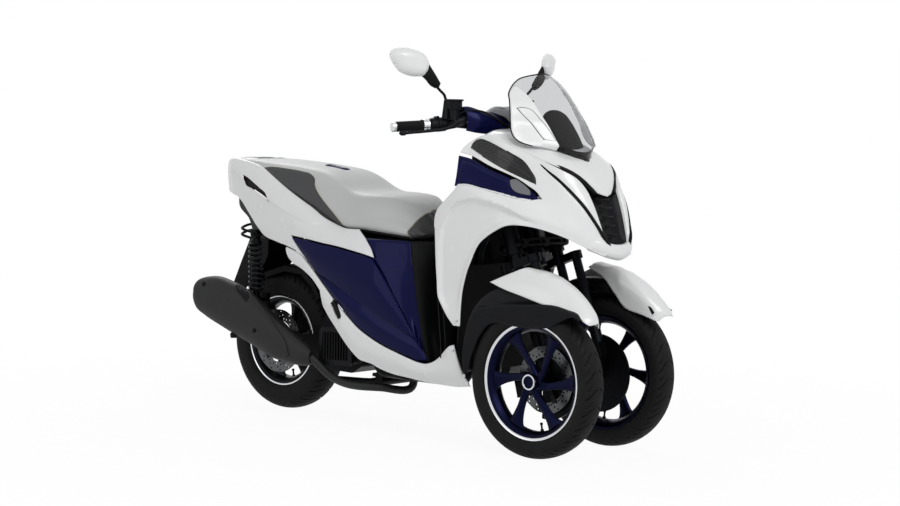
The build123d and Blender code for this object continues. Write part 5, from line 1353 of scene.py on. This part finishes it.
piece("screen", [frontPanel(screenForm, mirrorLoop(screenOutline), roll=2.0, depth=0.6)], "smoke", "chassis",
      "smoke_glass", "windscreen", wall=screenSizes["wall"], outward=(1, 0, 0.3))
piece("screenWings", [frontPanel(screenForm, wingOutline, screenSizes["wingLift"], roll=3.0, depth=2.4)],
      "white", "chassis", "white", "screen_wings", wall=2.4, both=True, outward=(1, -1, 0.3))
piece("screenClips", [frontPanel(screenForm, clipOutline, screenSizes["clipLift"], roll=2.0, depth=1.6,
                                 spacing=6)], "white", "chassis", "white", wall=1.4, both=True,
      outward=(1, -1, 0.3))
piece("clipSeams", [frontPanel(screenForm, grown(clipOutline, 1.6), 3.5, roll=1.0, depth=0.3, spacing=6)],
      "black", "chassis", "black", wall=1.0, both=True, outward=(1, -1, 0.3))
domeOutline = mirrorLoop([(0, 976, 1), (-50, 977), (-88, 983, 1), (-91, 1008), (-88, 1038), (-78, 1070),
                          (-58, 1099), (-28, 1113), (0, 1116)])
piece("dashDome", [frontPanel(domeForm, domeOutline, roll=6.0, depth=6.0)], "deepBlack", "chassis", "black",
      "dash_panel", wall=2.4, outward=(1, 0, 0))
# dark foot of the screen, printed on the inner face
footOutline = mirrorLoop([(0, 952.5, 1), (-30, 960), (-54, 970), (-84, 982), (-96, 986, 1), (-90, 997),
                          (-60, 992), (-30, 985), (0, 982)])
piece("screenFoot", [frontPanel(screenForm, footOutline, -3.4, roll=1.0, depth=0.2, spacing=6)], "black",
      "chassis", "black", wall=0.8, outward=(1, 0, 0))
# rubber edge trim round the screen
edge = outlineThrough(mirrorLoop(screenOutline), 6)
edge = edge[np.argsort(np.arctan2(edge[:, 0], edge[:, 1] - 1080))]
upper = edge[edge[:, 1] > 1000]
line = [(a, y, z) for a, (y, z) in zip(screenForm(upper) - 1.3, upper)]
piece("screenEdge", [tubeMesh(line, screenSizes["trim"], 8)], "black", "chassis", "black")
print("screen ready")


# x, bottom z, bottom half width, top z, top half width
seatRows = [
    (-786, 898, 104, 903, 90), (-770, 897, 109, 906, 95), (-738, 895, 115, 908, 100),
    (-690, 889, 123, 908, 106), (-640, 879, 130, 906, 112), (-584, 854, 137, 904, 115),
    (-528, 826, 143, 901, 118), (-474, 803, 148, 898, 121), (-419, 781, 152, 893, 124),
    (-380, 765, 155, 889, 126), (-340, 748, 157, 883, 128), (-302, 730, 159, 872, 130),
    (-265, 712, 161, 856, 132), (-226, 701, 162, 835, 135), (-187, 691, 163, 820, 137),
    (-146, 689, 163, 814, 139), (-100, 688, 162, 813, 140), (-50, 685, 160, 811, 134),
    (0, 681, 157, 805, 118), (32, 679, 154, 794, 100), (60, 676, 150, 779, 80), (82, 674, 144, 760, 62),
    (100, 672, 136, 736, 48), (112, 671, 124, 712, 38), (118, 671, 112, 696, 30),
]
seatSizes = {"across": 60, "along": 110, "welt": 1.7, "stitchPitch": 6.0, "stitchLength": 3.6,
             "stitchRadius": 0.55, "panelLift": 1.2}


def seatSection(x, low, wideLow, high, wideHigh):
    tall = high - low
    half = [(-wideLow + 30, low + 0.4), (-wideLow + 9, low + 0.6), (-wideLow + 1, low + 0.07 * tall),
            (-wideLow - 0.5, low + 0.22 * tall), (-0.62 * wideLow - 0.38 * wideHigh - 3, low + 0.45 * tall),
            (-0.3 * wideLow - 0.7 * wideHigh - 5, low + 0.68 * tall), (-wideHigh - 3, low + 0.85 * tall),
            (-wideHigh + 9, high - 0.055 * tall), (-wideHigh + 30, high - 2.2),
            (-0.42 * wideHigh, high - 0.2), (0, high)]
    return [(x, y, z) for y, z in half]


seatSheet = gridSheet(bothSides([seatSection(*row) for row in seatRows]), seatSizes["across"] * 2 + 1,
                      seatSizes["along"])
bottom = np.array([[row[-1] * (1 - t) + row[0] * t for t in np.linspace(0.06, 0.94, 12)]
                   for row in seatSheet])
cushionLoop = np.concatenate([seatSheet, bottom], axis=1)
cushion = piece("seatCushion", [sheetMesh(cushionLoop, closed=True, caps=True)], "seatGrey", "seat",
                "seat_vinyl", "seat_cushion", sharp=70)


def onSeat(points, lift=0.0):
    # side view points (x, z) on the right flank of the seat, lifted off it
    half = seatSheet[:, :seatSizes["across"] + 1]
    xs = half[:, 0, 0]
    out = []
    for x, z in points:
        k = int(np.clip(np.searchsorted(xs, x) - 1, 0, len(xs) - 2))
        t = unit((x - xs[k]) / (xs[k + 1] - xs[k]))
        row = half[k] * (1 - t) + half[k + 1] * t
        run = row[4:]
        y = float(np.interp(z, run[:, 2], run[:, 1]))
        out.append((x, y - lift, z))
    return out


# charcoal panels sewn into the flank, and the charcoal front end
flankPatch = [(-636, 876, 1), (-604, 884), (-560, 885), (-510, 882), (-440, 876), (-385, 866), (-362, 852),
              (-351, 826), (-330, 802), (-300, 778), (-244, 738), (-196, 700, 1), (-244, 704), (-335, 742),
              (-443, 790), (-535, 834), (-600, 867)]
flat, faces, clear = trimmedSheet(flankPatch, (), 3.0, 8.0)
lift = seatSizes["panelLift"] * unit(clear / 3.0) + 0.3
panel = [spot(p[0], p[1] - d, p[2]) for p, d in zip(onSeat(flat), lift)]
piece("seatPatches", [(panel, faces)], "seatCharcoal", "seat", "seat_vinyl", wall=1.4, both=True)
loop = outlineThrough(flankPatch, 6)
welt = onSeat(np.vstack([loop, loop[:1]]), 0.6)
stitch = onSeat(inward(loop, 5.0), seatSizes["panelLift"] + 0.6)

xs = seatSheet[:, 0, 0]
# the front cover starts further forward down the flanks than on top
starts = 58 + 36 * (np.abs(np.arange(seatSheet.shape[1]) - seatSizes["across"]) / seatSizes["across"]) ** 1.6
centre = np.zeros((16, seatSheet.shape[1], 3))
for k, first in enumerate(starts):
    asked = np.linspace(first, xs[-1], len(centre))
    for axis in range(3):
        centre[:, k, axis] = np.interp(asked, xs, seatSheet[:, k, axis])
outward = np.stack([centre[:, :, 0] * 0 + 0.35, centre[:, :, 1] / 130, (centre[:, :, 2] - 700) / 90], axis=2)
outward /= np.linalg.norm(outward, axis=2)[:, :, None]
centre += outward * 1.6
tip = centre[-1]
cap = ([spot(*p) for p in tip] + [spot(tip[:, 0].mean() + 2.2, 0, tip[:, 2].mean())],
       [(k, k + 1, len(tip)) for k in range(len(tip) - 1)] + [(len(tip) - 1, 0, len(tip))])
piece("seatFrontCover", [sheetMesh(centre), cap], "seatCharcoal", "seat", "seat_vinyl", wall=1.4,
      outward=(1, 0, 0.6), sharp=60)
seamRow = centre[0]
welts = [tubeMesh(run, seatSizes["welt"], 8) for run in (welt, [(x, -y, z) for x, y, z in welt], seamRow)]
piece("seatWelts", welts, "seatWelt", "seat", "seat_vinyl")
seams = [stitch, [(x, -y, z) for x, y, z in stitch], [(x + 6, y, z + 0.5) for x, y, z in seamRow[4:-4]]]
stitches = [threadLine("seatStitch", seam, seatSizes, finishes["seatWelt"]) for seam in seams]
placed(joinedObject("seatStitches", stitches), "seat", "seat_vinyl")
# pull tab in the seam at the step
tab = [[(x, y, z + 1.6 * (1 - (y / 16) ** 2)) for y in np.linspace(-15, 15, 9)]
       for x, z in ((-437, 891), (-430, 896.5), (-400, 894.5), (-365, 889.5), (-342, 886), (-334, 880))]
piece("seatTab", [skinMesh(tab, 16, 30)], "blue", "seat", "seat_vinyl", wall=4.0, outward=(0, 0, 1))
print("seat ready")


# z, then side seam x and half width, corner x and half width, front corner x and half width, front x
boxRows = [
    (257, 196, 201, 211, 177, 219, 109, 223), (300, 182, 202, 200, 178, 211, 109, 215),
    (347, 165, 202, 188, 177, 201, 109, 206), (410, 122, 205, 174, 177, 197, 105, 202),
    (475, 76, 207, 160, 177, 194, 101, 199), (535, 34, 203, 145, 172, 189, 98, 196),
    (594, -4, 198, 130, 167, 184, 96, 193), (632, -28, 190, 119, 160, 181, 94, 190),
    (662, -46, 182, 110, 155, 178, 93, 189),
]
sideBox = [[(rear - 60, -w - 2, z), (rear, -w, z), ((rear + corner) / 2, -(w + wc) / 2 - 4, z),
            (corner - 12, -wc - 4.5, z), (corner, -wc, z)] for z, rear, w, corner, wc, near, wn, x in boxRows]
frontBox = bothSides([[(corner, -wc, z), (corner + 8, -wc + 9, z), (near, -wn, z), (x - 1, -wn * 0.4, z),
                       (x, 0, z)] for z, rear, w, corner, wc, near, wn, x in boxRows])
piece("seatBoxSides", [skinMesh(sideBox, 20, 40)], "blue", "chassis", "blue", wall=2.4, both=True,
      outward=(0.1, -1, 0))
piece("seatBoxFront", [skinMesh(frontBox, 60, 40)], "black", "chassis", "black", "seat_box", wall=2.4,
      outward=(1, 0, 0))
print("seat box ready")


barSizes = {"wall": 2.4, "hoodWall": 3.0, "ringCount": 22, "ringPitch": 3.0, "hose": 3.6}
# across the bar cover: x and z of five lines from its rear edge over the top to its front lower edge
coverLines = [
    # y, then (x, z) of each line
    (-170, (318, 1092), (324, 1114), (338, 1120), (356, 1104), (364, 1068), (358, 1042)),
    (-150, (312, 1086), (322, 1116), (348, 1121), (374, 1104), (386, 1068), (380, 1036)),
    (-110, (318, 1084), (330, 1107), (370, 1109), (401, 1091), (410, 1060), (402, 1031)),
    (-60, (330, 1080), (345, 1100), (394, 1097), (430, 1080), (440, 1050), (433, 1022)),
    (0, (334, 1078), (348, 1097), (400, 1094), (436, 1078), (446, 1048), (440, 1016)),
]
coverSheet = gridSheet(bothSides([[(line[1 + k][0], line[0], line[1 + k][1]) for line in coverLines]
                                  for k in range(6)]), 80, 36)
piece("barCover", [sheetMesh(coverSheet)], "blue", "bars", "blue", "bar_cover", wall=barSizes["wall"],
      outward=(0.6, 0, 1))
meterRows = bothSides([
    [(345, -66, 1098), (346, -50, 1108), (347, 0, 1112)],
    [(360, -70, 1102), (362, -52, 1116), (364, 0, 1120)],
    [(410, -72, 1098), (412, -54, 1111), (414, 0, 1115)],
    [(446, -66, 1084), (452, -48, 1094), (456, 0, 1098)],
    [(452, -60, 1074), (460, -44, 1080), (464, 0, 1083)],
])
piece("meterHood", [skinMesh(meterRows, 48, 36)], "grey", "bars", "grey", "meter", wall=barSizes["hoodWall"],
      outward=(0, 0, 1))
glassRows = [[(x, y, z) for y in np.linspace(-46, 46, 9)]
             for x, z in ((352, 1113.5), (370, 1120.8), (396, 1118.8), (412, 1116.6))]
piece("meterGlass", [skinMesh(glassRows, 30, 16)], "lampLens", "bars", "black", wall=1.6, outward=(0, 0, 1))

gripStart, gripEnd = np.array([312.0, -190.0, 1063.0]), np.array([214.0, -350.0, 1051.0])
gripWay = (gripEnd - gripStart) / np.linalg.norm(gripEnd - gripStart)


def onGrip(y, radius, angle):
    # a point round the bar's outer run
    centre = gripStart + gripWay * ((-y - gripStart[1]) / gripWay[1])
    side = np.cross(gripWay, (0, 0, 1))
    side /= np.linalg.norm(side)
    up = np.cross(side, gripWay)
    return centre + radius * (side * cos(angle) + up * sin(angle))


def gripTurned(profile, sides=40):
    # (distance from the middle plane, radius) profile turned about the bar
    rings = [[onGrip(y, r, 2 * pi * k / sides) for k in range(sides)] for y, r in profile]
    return sheetMesh(np.array(rings), closed=True, caps=True)


gripProfile = [(274, 15), (274.5, 18.5), (279, 19), (281, 17)]
for n in range(barSizes["ringCount"]):
    y = 283 + n * barSizes["ringPitch"]
    gripProfile += [(y, 17.0), (y + 0.6, 16.2), (y + 1.4, 16.2), (y + 2.0, 17.0)]
gripProfile += [(350.4, 17.2), (350.9, 15)]
piece("grips", [gripTurned(gripProfile)], "gripRubber", "bars", "rubber", "grips", both=True, sharp=50)
collar = [(255, 15), (255.4, 20), (257, 21.4), (260, 21.4), (261, 20), (266, 20), (267, 21.4), (272, 21.4),
          (273.6, 20.4), (273.8, 15)]
endCap = [(351.4, 12), (351.6, 15.4), (353, 16.6), (355, 16.6), (355.6, 15.6), (357, 15.6), (357.6, 16.6),
          (363, 16.6), (365.4, 15.2), (366.2, 12)]
piece("barEnds", [gripTurned(collar), gripTurned(endCap)], "polishedAlloy", "bars", "alloy", "bar_ends",
      both=True, sharp=30)
housing = [(206, 14), (207, 21), (211, 23), (228, 24), (231, 24.5), (232, 22.5), (236, 24), (250, 23),
           (253.5, 21), (254.4, 14)]
lever = tubeMesh([(340, -192, 1070), (334, -206, 1058), (322, -232, 1048), (300, -270, 1041),
                  (272, -318, 1035), (250, -352, 1031)], [8, 7.5, 6, 5.5, 5, 5], 12, 8)
knob = tubeMesh([(253, -347, 1031.5), (250, -352, 1031.2), (244, -362, 1030.6), (241, -367, 1030.3)],
                [6, 8.5, 8, 3], 14)
perchRim = ((-16, -8, -16), (14, -14, -18), (20, 6, -8), (18, 10, 14), (-6, 14, 20), (-18, 8, 10))
perch = [[(x + a, y + b, z + c) for a, b, c in perchRim]
         for x, y, z in ((318, -214, 1064), (326, -200, 1066), (334, -186, 1070), (338, -172, 1074))]
switches = [gripTurned(housing), lever, knob, bodyMesh(perch, 36, 16)]
pad = [[(a, b, z) for a, b in ((296, -206), (322, -214), (346, -190), (336, -166), (306, -172))]
       for z in (1112, 1118, 1134, 1138)]
switches.append(bodyMesh(pad, 40, 6))
lidRim = ((294, -207), (323, -217), (349, -190), (338, -163), (304, -170))
lid = [[(321 + s * (a - 321), -190 + s * (b + 190), z) for a, b in lidRim]
       for s, z in ((1.0, 1138.2), (1.03, 1139.4), (1.03, 1142.6), (0.97, 1144.4))]
switches.append(bodyMesh(lid, 40, 8))
for dz, dy in ((-20, -226), (16, -240)):
    switches.append(tubeMesh([(296, dy, 1066 + dz), (280, dy + 3, 1066 + dz)], [7, 6], 14))
switches.append(tubeMesh([(320, -190, 1113), (322, -191, 1095), (326, -196, 1072)], [20, 19, 17], 20))
piece("controls", switches, "satinBlack", "bars", "black", "controls", both=True, sharp=45)
hoses = [tubeMesh([(330, -192, 1088), (352, -168, 1106), (390, -130, 1106), (430, -84, 1076),
                   (446, -50, 1052)], barSizes["hose"], 8, 8)]
piece("brakeHoses", hoses, "black", "bars", "black", both=True)

mirrorOutline = [(-417, 1286), (-407, 1257), (-388, 1232), (-365, 1220), (-340, 1215), (-318, 1216, 1),
                 (-305, 1237), (-301, 1262, 1), (-316, 1288), (-343, 1303), (-379, 1308), (-411, 1299)]
wedgeOutline = [(-300, 1262, 1), (-317, 1217, 1), (-276, 1184), (-252, 1179), (-240, 1195, 1), (-268, 1228)]
stalkLine = [(296, -252, 1186), (297, -232, 1171), (298, -212, 1156), (299, -206, 1140), (302, -209, 1118),
             (308, -218, 1088), (310, -221, 1076)]


def shellBase(y):
    return np.interp(y, [-421, -303, -240], [236, 296, 300])


def bulged(outline, rise, roll, spacing, back):
    # front face swelling forward, and a flat back
    flat, faces, clear = trimmedSheet(outline, (), roll, spacing)
    base = shellBase(flat[:, 0])
    swell = rise * np.sqrt(unit(1 - (1 - unit(clear / roll)) ** 2))
    front = ([spot(x + s, y, z) for x, s, (y, z) in zip(base, swell, flat)], faces)
    rear = ([spot(x - back * min(c / 3, 1), y, z) for x, c, (y, z) in zip(base, clear, flat)], faces)
    return front, rear


shellFront, shellBack = bulged(mirrorOutline, 34, 30, 7, 6)
piece("mirrorShells", [shellFront, shellBack], "white", "bars", "white", "mirrors", both=True, sharp=60)
flat, faces, clear = trimmedSheet(inward(outlineThrough(mirrorOutline, 8), 7).tolist(), (), 3.0, 10)
pane = [spot(shellBase(y) - 7.0, y, z) for y, z in flat]
piece("mirrorPanes", [(pane, faces)], "mirrorGlass", "bars", "steel", wall=1.2, both=True, outward=(-1, 0, 0))
wedgeFront, wedgeBack = bulged(wedgeOutline, 13, 11, 6, 4)
stalk = tubeMesh(stalkLine[:4], [5, 4.6, 4.6, 4.6], 14, 5)
boot = tubeMesh(stalkLine[3:], [6.5, 9, 11, 12], 18, 4)
piece("mirrorArms", [wedgeFront, wedgeBack, stalk, boot], "black", "bars", "black", "mirror_stems",
      both=True, sharp=50)
print("bars and mirrors ready")


# x, low z, high z, half width
mufflerRows = [
    (-896, 406, 436, 13), (-889, 380, 452, 24), (-868, 352, 464, 32), (-826, 332, 473, 34.5),
    (-785, 316, 477, 35.5), (-700, 286, 462, 36), (-619, 259, 437, 36), (-545, 233, 397, 36),
    (-471, 208, 349, 34), (-400, 200, 313, 30), (-351, 197, 286, 25), (-318, 199, 268, 20),
    (-300, 208, 254, 15.5),
]
mufflerSizes = {"y": -203.0, "facets": 56, "shieldLift": 4.6, "shieldWall": 1.2, "pipe": 14.0}


def mufflerPoint(x, angle, lift=0.0):
    # angle 0 faces outwards, 90 upwards
    table = np.array(mufflerRows, float)
    low, high, wide = (float(glide(table[:, 0], table[:, k], [x])[0]) for k in (1, 2, 3))
    a, tall = radians(angle), (high - low) / 2
    c, s = cos(a), sin(a)
    y = -abs(c) ** 0.82 * (1 if c >= 0 else -1)
    z = abs(s) ** 0.9 * (1 if s >= 0 else -1)
    return (x, mufflerSizes["y"] + y * (wide + lift), (low + high) / 2 + z * (tall + lift))


body = [[mufflerPoint(x, 360 * k / mufflerSizes["facets"]) for k in range(mufflerSizes["facets"])]
        for x in np.concatenate([[-896, -894, -889, -880], np.arange(-868, -318, 11), [-312, -300]])]
piece("muffler", [sheetMesh(np.array(body), closed=True, caps=True)], "heatproof", "chassis",
      "exhaust_black", "muffler", sharp=50)
# pressed heat shield on the outer face, with a window over the joint; the second number is mm round the body
shieldOutline = [(-884, -8, 1), (-872, 36), (-820, 58), (-740, 66), (-640, 62), (-540, 48), (-450, 30),
                 (-396, 6), (-384, -12, 1), (-410, -26), (-500, -36), (-620, -40), (-740, -42),
                 (-830, -40), (-872, -30)]
shieldWindow = [(-672, 46), (-650, 52), (-620, 49), (-596, 38), (-598, 28), (-622, 29), (-656, 36)]
flat, faces, clear = trimmedSheet(shieldOutline, [shieldWindow], 5.0, 8.0)
lift = mufflerSizes["shieldLift"] - rolledBy(clear, 5.0, 4.0)
shield = [spot(*mufflerPoint(x, v / 0.62, d)) for (x, v), d in zip(flat, lift)]
piece("mufflerShield", [(shield, faces)], "heatproof", "chassis", "exhaust_black",
      wall=mufflerSizes["shieldWall"], outward=(0, -1, 0.2))
flat, faces, clear = trimmedSheet(shieldWindow, (), 3.0, 6.0)
piece("mufflerJoint", [([spot(*mufflerPoint(x, v / 0.62, 1.0)) for x, v in flat], faces)], "satinBlack",
      "chassis", "steel", wall=1.0, outward=(0, -1, 0))
knob = tubeMesh([(-683, -214, 300), (-683, -216, 286), (-683, -216, 280), (-683, -216, 266)],
                [8, 8, 13, 11], 20)
piece("mufflerKnob", [knob], "gripRubber", "chassis", "rubber", sharp=40)
pipeLine = [(40, -40, 216), (44, -60, 150), (-10, -160, 152), (-230, -178, 170), (-302, -203, 231)]
piece("exhaustPipe", [tubeMesh(pipeLine, mufflerSizes["pipe"], 24, 12)], "heatproof", "chassis",
      "exhaust_black", "exhaust_pipe")
bolts = []
for x, angle in ((-824, 40), (-548, -6)):
    at, out = np.array(mufflerPoint(x, angle, 3.0)), np.array(mufflerPoint(x, angle, 13.0))
    bolts.append((*at, tuple((out - at) / np.linalg.norm(out - at))))
screwPiece("mufflerBolts", bolts, 9.5, 5.0, "satinBlack", "chassis", "steel", (1,))

# coil-over shocks: spring by nodes, damper turned
shockFoot, shockHead = np.array([-648.5, -140.0, 401.0]), np.array([-653.0, -140.0, 640.0])
shockSizes = {"coils": 9.0, "coilRadius": 24.0, "wire": 4.4, "seat": 42.0, "head": 34.0}


def shockTurned(profile, sides=32):
    way = (shockHead - shockFoot) / np.linalg.norm(shockHead - shockFoot)
    side, across = np.array([way[2], 0, -way[0]]), np.array([0, 1, 0])
    turns = [2 * pi * k / sides for k in range(sides)]
    rings = [[shockFoot + way * s + r * (side * cos(a) + across * sin(a)) for a in turns] for s, r in profile]
    return sheetMesh(np.array(rings), closed=True, caps=True)


length = float(np.linalg.norm(shockHead - shockFoot))
damper = [(10, 8), (16, 13), (34, 13), (35, 25), (38, 28), (41, 28), (42, 25), (43, 17), (length * 0.62, 17),
          (length * 0.62 + 1, 8), (length - 40, 8), (length - 39, 25), (length - 36, 28), (length - 33, 28),
          (length - 31, 22), (length - 20, 16), (length - 12, 12), (length - 10, 8)]
eyes = [tubeMesh([(p[0], p[1] - 13, p[2]), (p[0], p[1] + 13, p[2])], 16, 28) for p in (shockFoot, shockHead)]
pins = [tubeMesh([(p[0], p[1] - 17, p[2]), (p[0], p[1] + reach, p[2])], 6, 14)
        for p, reach in ((shockFoot, 44), (shockHead, 38))]
piece("rearShocks", [shockTurned(damper)] + eyes + pins, "framePaint", "chassis", "frame_paint",
      "rear_shocks", both=True, sharp=35)
coilValues = {"Turns": shockSizes["coils"], "Radius": shockSizes["coilRadius"] / 1000,
              "Wire": shockSizes["wire"] / 1000,
              "Height": (length - shockSizes["seat"] - shockSizes["head"]) / 1000}
coils = []
for side in (1, -1):
    spring = madeByNodes("shockSpring", "coil", coilValues, finishes["springPaint"])
    way = Vector(shockHead - shockFoot).normalized()
    foot = Vector(shockFoot) + way * shockSizes["seat"]
    spring.transform(Matrix.Translation(spot(foot.x, foot.y * side, foot.z))
                     @ Vector((0, 0, 1)).rotation_difference(way).to_matrix().to_4x4())
    spring.shade_smooth()
    coils.append(spring)
placed(joinedObject("shockSprings", coils), "chassis", "frame_paint")

# number plate carrier: a flange on each side, a web between them, and the loop behind the tail
flange = [(-722, 698), (-750, 624), (-849, 426), (-836, 408), (-800, 404), (-676, 530),
          (-660, 560), (-660, 698)]
flangeMesh = plateMesh(outlineThrough([p + (1,) for p in flange], 12), [], lambda a, b,
                       d: (a, -72 + d, b), 3.0)
web = [[(x, -72, z), (x - 6, -66, z - 2), (x - 8, 0, z - 2), (x - 6, 66, z - 2), (x, 72, z)]
       for x, z in ((-722, 698), (-750, 624), (-800, 525), (-846, 430))]
piece("plateCarrier", [skinMesh(web, 30, 40)], "black", "chassis", "black", "rear_mudguard", wall=3.0,
      outward=(-1, 0, 0))
piece("plateFlanges", [flangeMesh], "black", "chassis", "black", both=True, sharp=30)
loopLine = [(-750, -62, 636), (-806, -62, 652), (-808, -50, 656), (-808, 50, 656), (-806, 62, 652),
            (-750, 62, 636)]
lower = [(x, y, z - 22) for x, y, z in loopLine]
piece("plateLoop", [tubeMesh(loopLine, 5, 12, 8), tubeMesh(lower, 5, 12, 8)], "black", "chassis", "black")
tailUnder = [(-842, 782, 1), (-800, 774), (-792, 736), (-735, 690), (-708, 645), (-640, 618, 1),
             (-620, 700, 1), (-700, 790, 1), (-790, 840, 1), (-842, 850, 1)]
flat, faces, clear = trimmedSheet(tailUnder, (), 3.0, 12.0)
under = [spot(x, -(86 + 0.10 * (x + 842)), z) for x, z in flat]
piece("tailInner", [(under, faces)], "darkGrey", "chassis", "black", wall=2.4, both=True, outward=(0, -1, 0))

# white tail cap with the lamp below it
capRows = bothSides([
    [(-842, -88, 893), (-846, -60, 904), (-847, 0, 909)],
    [(-820, -98, 899), (-822, -70, 908), (-822, 0, 913)],
    [(-786, -112, 903), (-786, -84, 909), (-786, 0, 912)],
])
piece("tailCap", [skinMesh(capRows, 40, 20)], "white", "chassis", "white", "tail_top", wall=2.6,
      outward=(0, 0, 1))
lampRows = bothSides([
    [(-843, -86, 890), (-850, -60, 896), (-854, 0, 898)],
    [(-848, -84, 872), (-862, -58, 874), (-866, 0, 875)],
    [(-850, -82, 846), (-866, -56, 846), (-872, 0, 846)],
    [(-848, -80, 818), (-862, -54, 816), (-866, 0, 815)],
    [(-840, -80, 790), (-850, -52, 788), (-854, 0, 787)],
])
piece("tailLamp", [skinMesh(lampRows, 40, 30)], "redLens", "chassis", "red_lamp", "tail_lamp", wall=3.0,
      outward=(-1, 0, 0))
print("exhaust, shocks and tail end ready")


detailSizes = {"screwRadius": 5.2, "screwHeight": 3.2, "ribCount": 21, "ribPitch": 18.0, "slatCount": 10,
               "slatPitch": 13.0}
sideScrews = [(391, -235.4, 420, (0, -1, 0)), (362, -217.0, 318, (0, -1, 0.1)),
              (410, -213.0, 240, (0, -1, 0.1))]
screwPiece("cowlScrews", sideScrews, detailSizes["screwRadius"], detailSizes["screwHeight"], "hardChrome",
           "chassis", "steel")
# ribs of the rubber floor mat, between the seat box and the leg shield
mat = [[(x, y, z) for y in np.linspace(-196, 196, 21)] for x, z in ((229, 259.2), (260, 259.6), (294, 259.4))]
piece("floorMat", [skinMesh(mat, 40, 12)], "gripRubber", "chassis", "rubber", wall=1.0, outward=(0, 0, 1))
slatPiece("floorMatRibs", "chassis", "rubber", "gripRubber", detailSizes["ribCount"], (261, -180, 260.4),
          (0, detailSizes["ribPitch"], 0), (56, 6, 2.6))
# radiator cover: a framed panel with upright slats
coverFrame = plateMesh([(-292, 214), (-291, 328), (-280, 338), (-152, 345), (-140, 338), (-134, 222),
                        (-144, 212), (-282, 206)], [[(-278, 226), (-152, 230), (-156, 328), (-276, 322)]],
                       lambda a, b, d: (a, -176 + d, b), 9.0)
piece("radiatorFrame", [coverFrame], "satinBlack", "chassis", "black", sharp=30)
slatPiece("radiatorSlats", "chassis", "black", "black", detailSizes["slatCount"], (-272, -171, 277),
          (detailSizes["slatPitch"], 0, 0), (5.2, 9, 108), 24)
# grille bars in the mouth
for n, (x, z) in enumerate(((839, 724), (831, 752), (822, 780), (812, 808), (799, 836))):
    wide = 22 + 4 * n
    bar = [(x - 3, -wide, z), (x + 3, -wide * 0.6, z - 2), (x + 5, 0, z - 3), (x + 3, wide * 0.6, z - 2),
           (x - 3, wide, z)]
    piece("grilleBar" + str(n + 1), [tubeMesh(bar, [3.2, 3.8, 4.0, 3.8, 3.2], 10, 6)], "satinBlack",
          "chassis", "black")
# bands behind the smoked lamp lens, between its lower and upper edge
lensLow = [407, 470, 538, 600, 661], [987, 958, 928, 903, 880]
lensHigh = [412, 438, 468, 502, 560, 612, 638, 661], [1003, 1018, 1012, 1000, 975, 948, 920, 884]
bands = []
for share, start, end in ((0.42, 430, 640), (0.62, 424, 600)):
    line = []
    for x in np.linspace(start, end, 12):
        low = np.interp(x, *lensLow)
        high = np.interp(x, *lensHigh)
        z = low + (high - low) * share
        line.append((x, -float(cowlForm.halfWidth(np.array([(x, z)]))[0]) - 0.4, z))
    bands.append(tubeMesh(line, 1.6, 8))
piece("lampBands", bands, "darkGrey", "chassis", "lamp_glass", both=True)
# foot pegs folded into the skirts
peg = [[(x, -212, z), (x + 9, -214, z + 2), (x + 11, -218, z - 4), (x + 3, -219, z - 9), (x - 5, -216, z - 4)]
       for x, z in ((-196, 436), (-184, 424), (-172, 404), (-163, 388))]
piece("footPegs", [bodyMesh(peg, 20, 16)], "gripRubber", "chassis", "rubber", both=True, sharp=60)
print("screws, ribs and fittings ready")
